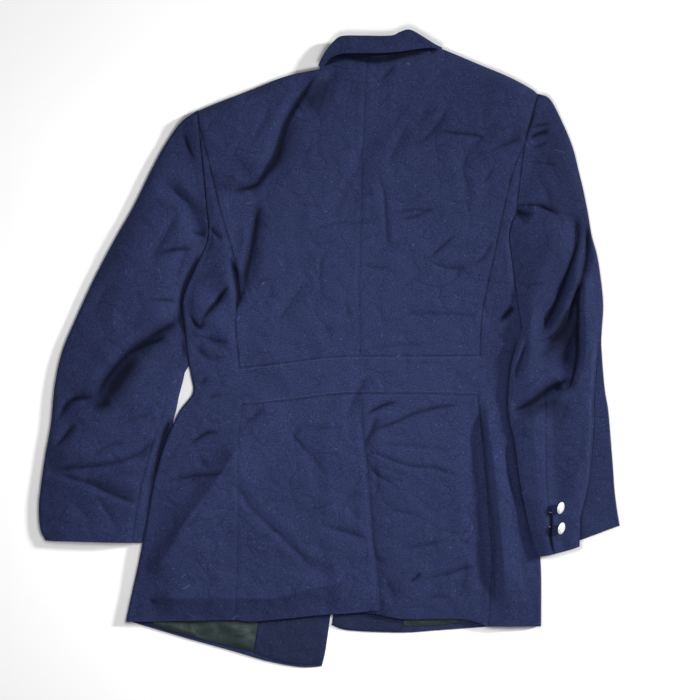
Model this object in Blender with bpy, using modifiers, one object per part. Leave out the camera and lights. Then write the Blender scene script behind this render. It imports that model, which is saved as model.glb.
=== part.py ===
"""Uniform dress jacket laid flat and face down, so that its back is on top.

Each piece that a tailor would cut is one closed wall of cloth. Plan positions and
heights are in millimetres until a wall is made; +X is the jacket's own right side,
+Y runs from hem to collar and the surface it lies on is Z = 0.
"""

import math

import bmesh
import bpy
import numpy as np
from mathutils import Matrix, Vector
from mathutils.bvhtree import BVHTree

MM = 0.001

# Driving dimensions, in millimetres
FOOTPRINT_CENTRE = (-0.71, -0.25)
CLOTH = 2.2
LINING = 1.0
SEAM_GAP = 0.4
LAY_GAP = 0.4
ARMHOLE_GAP = 0.9
ARMPIT_STEP = 1.5
BODY_REST = 7.0
BODY_LOWEST = 5.0
SHOULDER_ROLL = 16.0
SLEEVE_EDGE_TURN = 2.5
UNDERLAP_LIFT = CLOTH + LAY_GAP
LAPEL_MARGIN = 16.0
LAPEL_RAMP = 22.0
BUTTON_RADIUS = 8.0
BUTTON_TILT = math.radians(52)
BUTTON_LEAN = math.radians(-14)

FLOOR_LAYER = CLOTH / 2
LINING_LAYER = CLOTH + 0.3 + LINING / 2

# Colours as linear RGB, with roughness and metallic values
FINISHES = {
    "navy_wool": ((0.026, 0.034, 0.092), 0.88, 0.0),
    "navy_facing": ((0.022, 0.030, 0.080), 0.85, 0.0),
    "green_lining": ((0.028, 0.046, 0.044), 0.45, 0.0),
    "silver_button": ((0.80, 0.80, 0.79), 0.25, 1.0),
}

# Seams and edges of the back, as plan points (x, y)
CENTRE_SEAM = [(49, 388), (47, 343), (44, 278), (41, 174), (39, 80), (40, -9)]
NECKLINE = [(-16, 372), (15, 384), (49, 388), (104, 393), (150, 399)]
SHOULDER_LEFT = [(-176, 317), (-142, 331), (-100, 347), (-59, 363), (-16, 372)]
SHOULDER_RIGHT = [(150, 399), (198, 379), (239, 362), (267, 347), (277, 339)]
ARMHOLE_LEFT = [(-176, 317), (-175, 308), (-174, 300)]
ARMHOLE_RIGHT = [(277, 339), (268, 310), (258, 270)]
BACK_SEAM_LEFT = [(-174, 300), (-164, 262), (-154, 219), (-144, 180), (-134, 145), (-125, 112),
                  (-122, 78), (-125, 40), (-124, 11), (-120, -25)]
BACK_SEAM_RIGHT = [(258, 270), (249, 252), (241, 227), (234, 198), (227, 166),
                   (221, 136), (213, 100), (206, 68), (201, 35), (200, -8)]
BAND_END_LEFT = [(-120, -25), (-118, -50), (-116, -74)]
BAND_END_RIGHT = [(200, -8), (199, -35), (197, -61)]
SKIRT_SEAM_LEFT = [(-116, -74), (-121, -116), (-122, -211), (-124, -309), (-125, -360)]
SKIRT_SEAM_RIGHT = [(197, -61), (205, -140), (211, -211), (216, -282), (213, -334), (210, -369)]
WAIST_TOP = [(-120, -25), (-53, -17), (-7, -11), (40, -9), (120, -9), (200, -8)]
WAIST_BOTTOM = [(-116, -74), (-60, -69), (0, -61), (40, -59), (120, -59), (197, -61)]
HEM_LEFT = [(-125, -360), (-102, -362), (-56, -358), (-15, -354), (27, -351), (67, -347)]
HEM_RIGHT = [(27, -350), (57, -352), (97, -359), (150, -359), (182, -360), (210, -369)]
VENT = [(40, -59), (44, -116), (49, -154), (54, -213), (57, -255), (64, -309), (67, -347)]
UNDERLAP = [(31, -59), (10, -110), (10, -170), (16, -255), (27, -350)]

# Side folds of the flat body, from armpit to hem
SIDE_EDGE_LEFT = [(-160, 154), (-166, 136), (-175, 116), (-192, 78), (-196, 59), (-192, 19), (-188, -16),
                  (-184, -36), (-182, -59), (-200, -84), (-219, -126), (-227, -152),
                  (-236, -186), (-242, -222), (-253, -281), (-266, -339), (-271, -363)]
SIDE_EDGE_RIGHT = [(247, 176), (241, 162), (238, 144), (242, 116), (246, 86), (251, 56), (254, 37),
                   (256, 12), (255, -35), (257, -68), (262, -134), (269, -201),
                   (277, -262), (280, -300), (280, -369)]

# Edges of the two fronts, which lie underneath
FRONT_SEAM_LEFT = [(-162, 184), (-135, 90), (-130, 0), (-150, -150), (-176, -300), (-190, -386)]
FRONT_SEAM_RIGHT = [(248, 206), (212, 100), (204, 0), (212, -150), (212, -300), (210, -370)]
FRONT_ARMHOLE_LEFT = [(-176, 317), (-169, 265), (-162, 184)]
FRONT_ARMHOLE_RIGHT = [(277, 339), (258, 270), (248, 206)]
FRONT_EDGE_LEFT = [(-16, 370), (12, 200), (28, 44), (29, -20), (22, -120), (4, -320), (-5, -395),
                   (-11, -423)]
FRONT_EDGE_RIGHT = [(150, 397), (92, 200), (39, 44), (34, -20), (26, -120), (8, -320), (2, -368)]
FRONT_HEM_LEFT = [(-190, -386), (-132, -402), (-84, -416), (-40, -424), (-11, -423)]
FRONT_HEM_RIGHT = [(2, -368), (24, -375), (93, -378), (141, -375), (210, -370)]

SIDE_CURVES = {
    "left": (BACK_SEAM_LEFT, BAND_END_LEFT, SKIRT_SEAM_LEFT, SIDE_EDGE_LEFT, FRONT_SEAM_LEFT),
    "right": (BACK_SEAM_RIGHT, BAND_END_RIGHT, SKIRT_SEAM_RIGHT, SIDE_EDGE_RIGHT, FRONT_SEAM_RIGHT),
}

# Lapels and collar leaves, folded onto the outside of the fronts
LAPELS = {
    "left": {"roll": [(-3, 330), (10, 200), (27, 44)],
             "edge": [(-82, 276), (-62, 180), (24, 44)],
             "gorge": [(-82, 276), (-45, 306), (-3, 330)]},
    "right": {"roll": [(132, 350), (90, 200), (40, 44)],
              "edge": [(206, 306), (160, 190), (43, 44)],
              "gorge": [(206, 306), (172, 330), (132, 350)]},
}
# Collar leaves: tip, shoulder end, neck end, end at the roll line
COLLAR_LEAVES = {
    "left": [(-84, 281), (-72, 326), (-24, 354), (-8, 333)],
    "right": [(208, 311), (203, 346), (150, 380), (137, 353)],
}

# Sleeves: outer and inner fold from shoulder to cuff, and the elbow seam between them
SLEEVE_LEFT = {
    "outer": [(-176, 317), (-200, 299), (-222, 267), (-239, 235), (-262, 188), (-289, 140),
              (-314, 92), (-336, 44), (-356, -4), (-366, -50), (-371, -100), (-378, -140),
              (-384, -180), (-387, -211), (-385, -240), (-378, -255)],
    "inner": [(-161, 154), (-171, 136), (-181, 116), (-198, 80), (-203, 59), (-199, 25), (-192, -8),
              (-195, -34), (-201, -58), (-210, -96), (-224, -124), (-232, -152),
              (-241, -186), (-247, -222), (-251, -258)],
    "hidden_seam": 0.30,
}
SLEEVE_RIGHT = {
    "outer": [(277, 339), (293, 331), (310, 299), (323, 267), (331, 235), (337, 210),
              (343, 180), (348, 150), (355, 124), (360, 92), (363, 60), (362, 28), (361, 0),
              (365, -52), (370, -84), (374, -132), (378, -180), (382, -215), (385, -236)],
    "inner": [(247, 176), (245, 162), (244, 144), (248, 116), (251, 86), (255, 56), (257, 37), (252, 16),
              (242, -18), (238, -55), (238, -86), (246, -123), (253, -174), (260, -211),
              (270, -252), (278, -275)],
    "hidden_seam": 0.25,
}
CUFF_BOW_RIGHT = 6.0

# Height and elbow seam of each sleeve at stations from armhole (0) to cuff (1)
# station, rise over the edge turns, elbow seam's share of the width from the outer fold
SECTIONS_LEFT = [(0.00, 0.0, 0.965), (0.12, 9.0, 0.955), (0.30, 11.0, 0.945), (0.45, 9.0, 0.93),
                 (0.60, 8.0, 0.91), (0.80, 7.0, 0.90), (1.00, 6.5, 0.895)]
SECTIONS_RIGHT = [(0.00, 0.0, 0.90), (0.12, 9.0, 0.72), (0.30, 12.0, 0.62), (0.45, 11.0, 0.62),
                  (0.60, 10.0, 0.60), (0.80, 8.5, 0.66), (1.00, 6.5, 0.70)]

# Right sleeve's long tuck: station, width of the layer that shows beyond it, hidden depth
TUCK_RIGHT = [(0.00, 0.0, 0.0), (0.52, 0.0, 0.0), (0.62, 10.0, 8.0), (0.72, 22.0, 12.0),
              (0.84, 33.0, 15.0), (1.00, 52.0, 16.0)]
TUCK_LAYER_RISE = 3.3

# Largest folds on the back: start, end, height, half width to the left of the line, to its right
BODY_FOLDS = [
    ((-38, 345), (-92, 236), 5.0, 16.0, 40.0),
    ((-12, 330), (-80, 215), -2.6, 30.0, 16.0),
    ((104, 356), (16, 180), -2.4, 18.0, 18.0),
    ((-150, 200), (-132, 62), 5.0, 15.0, 17.0),
    ((-182, 70), (-130, 10), 4.5, 18.0, 18.0),
    ((60, 300), (190, 290), 2.0, 26.0, 26.0),
    ((-84, -82), (-232, -300), 4.5, 40.0, 34.0),
    ((-108, -206), (-24, -288), 3.2, 17.0, 20.0),
    ((-215, -330), (0, -312), 4.0, 22.0, 24.0),
    ((222, -95), (240, -355), 6.5, 17.0, 17.0),
    ((206, 40), (252, 68), -2.4, 15.0, 15.0),
    ((76, -140), (180, -168), 2.4, 22.0, 22.0),
    ((60, -200), (70, -320), -1.8, 15.0, 15.0),
]
SHOULDER_PADS = [((-128, 292), 11.0, 62.0), ((222, 312), 11.0, 62.0)]
NECK_RISE = ((66, 396), 4.0, 60.0)

# Largest folds of the sleeves, in the same form
LEFT_SLEEVE_FOLDS = [
    ((-208, 30), (-306, -62), 8.0, 17.0, 26.0),
    ((-190, 8), (-300, -72), -4.0, 16.0, 16.0),
    ((-222, 224), (-164, 160), -4.5, 15.0, 15.0),
    ((-366, -132), (-262, -160), 4.0, 15.0, 17.0),
    ((-300, 80), (-240, 180), 2.5, 22.0, 22.0),
    ((-368, -168), (-250, -210), 3.0, 16.0, 16.0),
]
RIGHT_SLEEVE_FOLDS = [
    ((326, 186), (276, 30), -5.0, 15.0, 15.0),
    ((306, 150), (262, 40), 4.5, 16.0, 17.0),
    ((334, 100), (292, 14), 5.0, 15.0, 15.0),
    ((332, 40), (300, -30), -5.0, 16.0, 16.0),
    ((316, -38), (244, -84), -4.5, 15.0, 15.0),
    ((316, -62), (250, -102), 4.5, 15.0, 15.0),
    ((350, 20), (336, -180), 3.5, 15.0, 15.0),
]

# Edge roll of the collar fall and its free edge, left to right
COLLAR_FOLD = [(-15, 376), (-5, 395), (9, 411), (20, 415), (43, 415), (80, 415), (93, 420),
               (102, 423), (109, 422), (120, 416), (139, 404), (149, 399)]
COLLAR_EDGE = [(-11, 371), (0, 385), (14, 391), (30, 392), (56, 392), (82, 393), (106, 396),
               (126, 399), (139, 399), (146, 395)]
COLLAR_TURN = 2.3
STAND_LAYER = 9.6

# Cuff buttons on the right sleeve: name, plan place of the disc's middle
CUFF_BUTTONS = [("cuff_button_upper", (305, -210)), ("cuff_button_lower", (306, -237))]
# Turned outline of a domed shank button: radius, height
BUTTON_PROFILE = [(0.0, 2.9), (3.4, 2.6), (6.2, 1.6), (7.7, 0.5), (8.0, -0.2), (7.3, -0.7),
                  (1.5, -0.8), (1.4, -3.6), (0.0, -3.6)]


def clear_scene():
    """Removes every object that the file starts with."""
    for obj in list(bpy.data.objects):
        bpy.data.objects.remove(obj)


def finish_material(name):
    """The Principled material of a named finish, made once."""
    found = bpy.data.materials.get(name)
    if found:
        return found
    colour, roughness, metallic = FINISHES[name]
    material = bpy.data.materials.new(name)
    material.use_nodes = True
    shader = material.node_tree.nodes["Principled BSDF"]
    shader.inputs["Base Color"].default_value = (*colour, 1.0)
    shader.inputs["Roughness"].default_value = roughness
    shader.inputs["Metallic"].default_value = metallic
    return material


def smooth_curve(points, per_span=16):
    """A dense Catmull-Rom line through plan points, with its length so far at each place."""
    p = np.array(points, float)
    padded = np.vstack([2 * p[0] - p[1], p, 2 * p[-1] - p[-2]])
    t = np.linspace(0, 1, per_span, endpoint=False)[:, None]
    spans = []
    for i in range(len(p) - 1):
        a, b, c, d = padded[i:i + 4]
        spans.append(0.5 * (2 * b + (c - a) * t + (2 * a - 5 * b + 4 * c - d) * t ** 2
                            + (3 * b - a - 3 * c + d) * t ** 3))
    line = np.vstack(spans + [p[-1:]])
    steps = np.linalg.norm(np.diff(line, axis=0), axis=1)
    return line, np.concatenate([[0], np.cumsum(steps)])


def sample(points, stations):
    """Plan points on a smooth curve, at shares of its length."""
    line, length = smooth_curve(points)
    at = np.asarray(stations) * length[-1]
    return np.stack([np.interp(at, length, line[:, k]) for k in range(2)], axis=1)


def even(count):
    """Shares from 0 to 1 in equal steps."""
    return np.linspace(0, 1, count + 1)


def near_start(points, distances, count):
    """Shares that begin at the given distances along a curve and go on in equal steps."""
    total = smooth_curve(points)[1][-1]
    first = [0.0] + [d / total for d in distances]
    return np.concatenate([first, np.linspace(first[-1], 1, count + 1)[1:]])


def joined(*lines):
    """One run of points from several that share their ends."""
    return np.vstack([lines[0]] + [line[1:] for line in lines[1:]])


def smoothstep(value):
    """0 below 0, 1 above 1, and a smooth rise between."""
    t = np.clip(value, 0, 1)
    return t * t * (3 - 2 * t)


def coons(top, bottom, left, right):
    """Plan grid inside four runs of points that share their corners."""
    rows, columns = len(left), len(top)
    u = np.linspace(0, 1, columns)[None, :, None]
    v = np.linspace(0, 1, rows)[:, None, None]
    corners = ((1 - u) * (1 - v) * top[0] + u * (1 - v) * top[-1]
               + (1 - u) * v * bottom[0] + u * v * bottom[-1])
    return ((1 - v) * top[None] + v * bottom[None]
            + (1 - u) * left[:, None] + u * right[:, None] - corners)


def drawn_in(grid, edges="tblr", gap=SEAM_GAP / 2):
    """The grid with its named edges moved inwards, which leaves the seam's gap."""
    moved = grid.copy()

    def pull(edge, inside):
        step = inside - edge
        length = np.maximum(np.linalg.norm(step, axis=-1, keepdims=True), 1e-9)
        return step / length * gap

    if "t" in edges:
        moved[0] += pull(grid[0], grid[1])
    if "b" in edges:
        moved[-1] += pull(grid[-1], grid[-2])
    if "l" in edges:
        moved[:, 0] += pull(grid[:, 0], grid[:, 1])
    if "r" in edges:
        moved[:, -1] += pull(grid[:, -1], grid[:, -2])
    return moved


def distance_to(x, y, points):
    """Distance from places in plan to a smooth curve."""
    line = smooth_curve(points, 8)[0]
    a, step = line[:-1], np.diff(line, axis=0)
    px, py = x[..., None] - a[:, 0], y[..., None] - a[:, 1]
    share = np.clip((px * step[:, 0] + py * step[:, 1]) / (step ** 2).sum(1), 0, 1)
    return np.hypot(px - share * step[:, 0], py - share * step[:, 1]).min(-1)


def fold_heights(x, y, folds):
    """Sum of soft ridges and troughs, each fading out at its two ends."""
    total = np.zeros_like(x)
    for (x0, y0), (x1, y1), height, left_width, right_width in folds:
        along = np.array([x1 - x0, y1 - y0], float)
        length = np.hypot(*along)
        along /= length
        run = (x - x0) * along[0] + (y - y0) * along[1]
        side = (y - y0) * along[0] - (x - x0) * along[1]
        width = np.where(side > 0, left_width, right_width)
        reach = 0.28 * length
        fade = smoothstep((run + reach / 2) / reach) * smoothstep((length - run + reach / 2) / reach)
        total += height * fade * np.exp(-(side / width) ** 2)
    return total


def within(x, y, outline):
    """Whether each place in plan lies inside a closed outline."""
    points = np.array(outline, float)
    inside = np.zeros(x.shape, bool)
    for (x0, y0), (x1, y1) in zip(points, np.roll(points, -1, axis=0)):
        if y0 == y1:
            continue
        crosses = (y0 > y) != (y1 > y)
        inside ^= crosses & (x < (x1 - x0) * (y - y0) / (y1 - y0) + x0)
    return inside


def front_height(x, y, sides=("left", "right")):
    """Middle of the wall of a front, raised where its lapel and collar leaf lie below it."""
    lift = np.zeros_like(x)
    for side in sides:
        lapel, leaf = LAPELS[side], COLLAR_LEAVES[side]
        outline = lapel["roll"] + lapel["edge"][::-1][1:] + lapel["gorge"][1:-1]
        near = np.minimum(distance_to(x, y, lapel["edge"]), distance_to(x, y, lapel["roll"]))
        for a, b in zip(leaf, leaf[1:] + leaf[:1]):
            near = np.minimum(near, distance_to(x, y, [a, b]))
        inside = within(x, y, outline) | within(x, y, leaf)
        lift = np.maximum(lift, np.where(inside, 1.0, smoothstep(1 - (near - LAPEL_MARGIN) / LAPEL_RAMP)))
    return FLOOR_LAYER + (CLOTH + LAY_GAP) * lift


def body_height(x, y):
    """Middle of the wall of the back layer, over the fronts."""
    rise = np.zeros_like(x)
    for (cx, cy), height, spread in SHOULDER_PADS:
        rise += height * np.exp(-((x - cx) ** 2 + (y - cy) ** 2) / spread ** 2)
    (cx, cy), height, spread = NECK_RISE
    rise += height * np.exp(-((x - cx) ** 2 + (y - cy) ** 2) / spread ** 2)
    resting = front_height(x, y) + CLOTH + LAY_GAP
    raw = np.maximum(BODY_REST + rise + fold_heights(x, y, BODY_FOLDS), np.maximum(BODY_LOWEST, resting))
    edge = np.minimum(distance_to(x, y, SHOULDER_LEFT), distance_to(x, y, SHOULDER_RIGHT))
    away = np.clip(edge / SHOULDER_ROLL, 0, 1)
    return resting + (raw - resting) * np.sqrt(1 - (1 - away) ** 2)


def flap_lift(x, y):
    """Extra height of the left skirt where the vent's underlap lies below it."""
    line = smooth_curve(UNDERLAP)[0][::-1]
    edge = np.interp(y, line[:, 1], line[:, 0])
    return UNDERLAP_LIFT * smoothstep((x - edge + 34) / 24)


def cloth_wall(name, middle, outward, thickness, finish, collection):
    """A closed wall of cloth: a grid on its middle surface, extruded both ways along outward."""
    rows, columns = middle.shape[0] - 1, middle.shape[1] - 1
    bm = bmesh.new()
    bmesh.ops.create_grid(bm, x_segments=columns, y_segments=rows, size=1.0)
    upper = bmesh.ops.extrude_face_region(
        bm, geom=bm.verts[:] + bm.edges[:] + bm.faces[:], use_keep_orig=True)["geom"]
    upper = {v for v in upper if isinstance(v, bmesh.types.BMVert)}
    for vert in bm.verts:
        column = round((vert.co.x + 1) / 2 * columns)
        row = round((vert.co.y + 1) / 2 * rows)
        side = 0.5 if vert in upper else -0.5
        place = middle[row, column] + side * thickness * outward[row, column]
        vert.co = Vector((place - (*FOOTPRINT_CENTRE, 0.0)) * MM)
    bmesh.ops.recalc_face_normals(bm, faces=bm.faces)
    mesh = bpy.data.meshes.new(name)
    bm.to_mesh(mesh)
    bm.free()
    mesh.materials.append(finish_material(finish))
    mesh.shade_smooth()
    mesh.set_sharp_from_angle(angle=math.radians(40))
    obj = bpy.data.objects.new(name, mesh)
    collection.objects.link(obj)
    return obj


def flat_panel(name, plan, heights, thickness, finish, collection):
    """A wall over a plan grid, its middle at the given heights."""
    middle = np.concatenate([plan, heights[..., None]], axis=-1)
    outward = np.zeros_like(middle)
    outward[..., 2] = 1.0
    return cloth_wall(name, middle, outward, thickness, finish, collection)


# Shares along the shared seams, so that neighbouring panels have the same corners
SHOULDER_ROWS = (3.0, 8.0, 17.0)
SEAM_ROWS = even(11)
BAND_ROWS = even(2)
SKIRT_ROWS = even(11)
FRONT_COLUMNS = even(8)


def back_uppers(collection):
    """The two halves of the upper back, from shoulder to waistband."""
    neck_left = sample(NECKLINE[:3], even(3))
    neck_right = sample(NECKLINE[2:], even(4))
    centre = sample(CENTRE_SEAM, near_start(CENTRE_SEAM, SHOULDER_ROWS + (50.0,), 11))
    left = joined(sample(ARMHOLE_LEFT, near_start(ARMHOLE_LEFT, SHOULDER_ROWS, 1)),
                  sample(BACK_SEAM_LEFT, SEAM_ROWS))
    right = joined(sample(ARMHOLE_RIGHT, near_start(ARMHOLE_RIGHT, SHOULDER_ROWS, 1)),
                   sample(BACK_SEAM_RIGHT, SEAM_ROWS))
    halves = {
        "back_left": (joined(sample(SHOULDER_LEFT, even(5)), neck_left),
                      sample(WAIST_TOP[:4], even(8)), left, centre),
        "back_right": (joined(neck_right, sample(SHOULDER_RIGHT, even(4))),
                       sample(WAIST_TOP[3:], even(8)), centre, right),
    }
    for name, edges in halves.items():
        plan = drawn_in(coons(*edges))
        flat_panel(name, plan, body_height(plan[..., 0], plan[..., 1]), CLOTH, "navy_wool", collection)


def waistband(collection):
    """The inset band across the back waist."""
    top = joined(sample(WAIST_TOP[:4], even(8)), sample(WAIST_TOP[3:], even(8)))
    bottom = joined(sample(WAIST_BOTTOM[:4], even(8)), sample(WAIST_BOTTOM[3:], even(8)))
    plan = drawn_in(coons(top, bottom, sample(BAND_END_LEFT, BAND_ROWS), sample(BAND_END_RIGHT, BAND_ROWS)))
    flat_panel("waistband", plan, body_height(plan[..., 0], plan[..., 1]), CLOTH, "navy_wool", collection)


def back_skirts(collection):
    """The skirt's two halves, the left lapped over the right along the centre vent."""
    left = drawn_in(coons(sample(WAIST_BOTTOM[:4], even(8)), sample(HEM_LEFT, even(8)),
                          sample(SKIRT_SEAM_LEFT, SKIRT_ROWS), sample(VENT, SKIRT_ROWS)))
    x, y = left[..., 0], left[..., 1]
    flat_panel("skirt_left", left, body_height(x, y) + flap_lift(x, y), CLOTH, "navy_wool", collection)
    top = joined(np.array([UNDERLAP[0], WAIST_BOTTOM[3]], float), sample(WAIST_BOTTOM[3:], even(8)))
    right = drawn_in(coons(top, sample(HEM_RIGHT, even(9)), sample(UNDERLAP, SKIRT_ROWS),
                           sample(SKIRT_SEAM_RIGHT, SKIRT_ROWS)))
    x, y = right[..., 0], right[..., 1]
    flat_panel("skirt_right", right, body_height(x, y), CLOTH, "navy_wool", collection)


def turn_about(edge, outward, radius, low, angles):
    """Half-circle run at a fold: plan edge and its outward direction, one row a section."""
    sine, cosine = np.sin(angles), np.cos(angles)
    across = radius[:, None] * (sine - 1)
    plan = edge[:, None, :] + outward[:, None, :] * across[..., None]
    height = (low + radius)[:, None] + radius[:, None] * cosine
    middle = np.concatenate([plan, height[..., None]], axis=-1)
    normal = np.concatenate([outward[:, None, :] * sine[:, None],
                             np.broadcast_to(cosine[:, None], (len(edge), len(angles), 1))], axis=-1)
    return middle, normal


def side_panel(name, back, edge, front, collection):
    """A side body: from the back seam over the side fold to the hidden front seam."""
    across = edge - back
    outward = across / np.linalg.norm(across, axis=1, keepdims=True)
    probe = edge - outward * 3.0
    low = np.full(len(edge), FLOOR_LAYER)
    radius = (body_height(probe[:, 0], probe[:, 1]) - low) / 2
    turn_start = edge - outward * radius[:, None]
    share = even(5)[None, :, None]
    top_plan = back[:, None] * (1 - share) + turn_start[:, None] * share
    height = body_height(top_plan[..., 0], top_plan[..., 1])
    level = (low + 2 * radius)[:, None]
    height = height + (level - height) * smoothstep(even(5) / 0.2 - 4)[None, :]
    top = np.concatenate([top_plan, height[..., None]], axis=-1)
    turn, turn_normal = turn_about(edge, outward, radius, low, np.linspace(0, math.pi, 6)[1:-1])
    share = even(3)[None, :, None]
    below_plan = turn_start[:, None] * (1 - share) + front[:, None] * share
    below = np.concatenate([below_plan, np.full((*below_plan.shape[:2], 1), FLOOR_LAYER)], axis=-1)
    middle = np.concatenate([top, turn, below], axis=1)
    up = np.broadcast_to([0.0, 0.0, 1.0], top.shape)
    down = np.broadcast_to([0.0, 0.0, -1.0], below.shape)
    normal = np.concatenate([up, turn_normal, down], axis=1)
    middle = drawn_in(middle)
    cloth_wall(name, middle, normal, CLOTH, "navy_wool", collection)


def at_heights(points, heights):
    """Places on a curve that runs down the jacket, at the given plan heights."""
    line = smooth_curve(points)[0][::-1]
    return np.stack([np.interp(heights, line[:, 1], line[:, 0]), heights], axis=1)


def side_rows(back_seam, band_end, skirt_seam, edge, front_seam):
    """Where each row of a side body meets its back seam, its side fold and its front seam.

    Rows are level, but those that start above the armpit fan out from it.
    """
    back = joined(sample(back_seam, SEAM_ROWS), sample(band_end, BAND_ROWS), sample(skirt_seam, SKIRT_ROWS))
    count = np.arange(len(back))
    ends = []
    for curve in (edge, front_seam):
        level = np.minimum(back[:, 1], curve[0][1] - ARMPIT_STEP * count)
        level += (curve[-1][1] - level[-1]) * smoothstep((count / count[-1] - 0.5) * 2)
        ends.append(at_heights(curve, level))
    return back, ends[0], ends[1]


def side_panels(collection):
    """Both side bodies, with rows that match the back, the band and the skirt."""
    for side, curves in SIDE_CURVES.items():
        side_panel(f"side_{side}", *side_rows(*curves), collection)


def fronts(collection):
    """The two fronts, outer side down, raised where a lapel lies below."""
    outer = joined(sample(FRONT_ARMHOLE_LEFT, even(4)), side_rows(*SIDE_CURVES["left"])[2])
    inner = sample(FRONT_EDGE_LEFT, even(len(outer) - 1))
    top, bottom = sample(SHOULDER_LEFT, FRONT_COLUMNS), sample(FRONT_HEM_LEFT, FRONT_COLUMNS)
    top[-1] = inner[0]
    left = drawn_in(coons(top, bottom, outer, inner))
    outer = joined(sample(FRONT_ARMHOLE_RIGHT, even(4)), side_rows(*SIDE_CURVES["right"])[2])
    inner = sample(FRONT_EDGE_RIGHT, even(len(outer) - 1))
    top, bottom = sample(SHOULDER_RIGHT, FRONT_COLUMNS), sample(FRONT_HEM_RIGHT, FRONT_COLUMNS)
    top[0] = inner[0]
    right = drawn_in(coons(top, bottom, inner, outer))
    for side, plan in (("left", left), ("right", right)):
        heights = front_height(plan[..., 0], plan[..., 1], (side,))
        flat_panel(f"front_{side}", plan, heights, CLOTH, "navy_wool", collection)


def lapels(collection):
    """Lapels and collar leaves, flat on the surface below the fronts."""
    for side, lapel in LAPELS.items():
        roll, edge = sample(lapel["roll"], even(6)), sample(lapel["edge"], even(6))
        gorge = sample(lapel["gorge"], even(4))
        tip = edge[-1] + (roll[-1] - edge[-1]) * even(4)[:, None]
        plan = drawn_in(coons(gorge, tip, edge, roll))
        flat_panel(f"lapel_{side}", plan, np.full(plan.shape[:2], FLOOR_LAYER), CLOTH, "navy_facing",
                   collection)
    for side, leaf in COLLAR_LEAVES.items():
        tip, shoulder_end, neck_end, roll_end = (np.array(p, float) for p in leaf)
        share = even(3)[:, None]
        gorge = sample(LAPELS[side]["gorge"], even(3)) + (roll_end - LAPELS[side]["gorge"][-1])
        gorge[0] = tip
        plan = coons(shoulder_end + (neck_end - shoulder_end) * share, gorge,
                     shoulder_end + (tip - shoulder_end) * share, neck_end + (roll_end - neck_end) * share)
        flat_panel(f"collar_leaf_{side}", plan, np.full(plan.shape[:2], FLOOR_LAYER), CLOTH, "navy_facing",
                   collection)


def hem_linings(collection):
    """Facing and lining of each front, where they show below the back's hem."""
    strips = {
        "facing_left": ("navy_facing", [(-101, -404), (-55, -418), (-14, -420)],
                        [(-90, -335), (-45, -333), (-2, -335)]),
        "lining_left": ("green_lining", [(-206, -372), (-150, -388), (-102, -396)],
                        [(-200, -333), (-150, -333), (-91, -335)]),
        "facing_right": ("navy_facing", [(5, -367), (30, -373), (97, -376)],
                         [(9, -310), (40, -310), (97, -310)]),
        "lining_right": ("green_lining", [(98, -369), (140, -368), (196, -362)],
                         [(98, -310), (140, -310), (200, -310)]),
    }
    for name, (finish, low, high) in strips.items():
        top, bottom = sample(high, even(4)), sample(low, even(4))
        share = even(3)[:, None]
        plan = coons(top, bottom, top[0] + (bottom[0] - top[0]) * share,
                     top[-1] + (bottom[-1] - top[-1]) * share)
        flat_panel(name, drawn_in(plan), np.full(plan.shape[:2], LINING_LAYER), LINING, finish, collection)


def column_of(table, stations, column):
    """A named column of a table of sections, read smoothly at each station."""
    rows = np.array(table, float)
    return np.interp(stations, rows[:, 0], rows[:, column])


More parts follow.
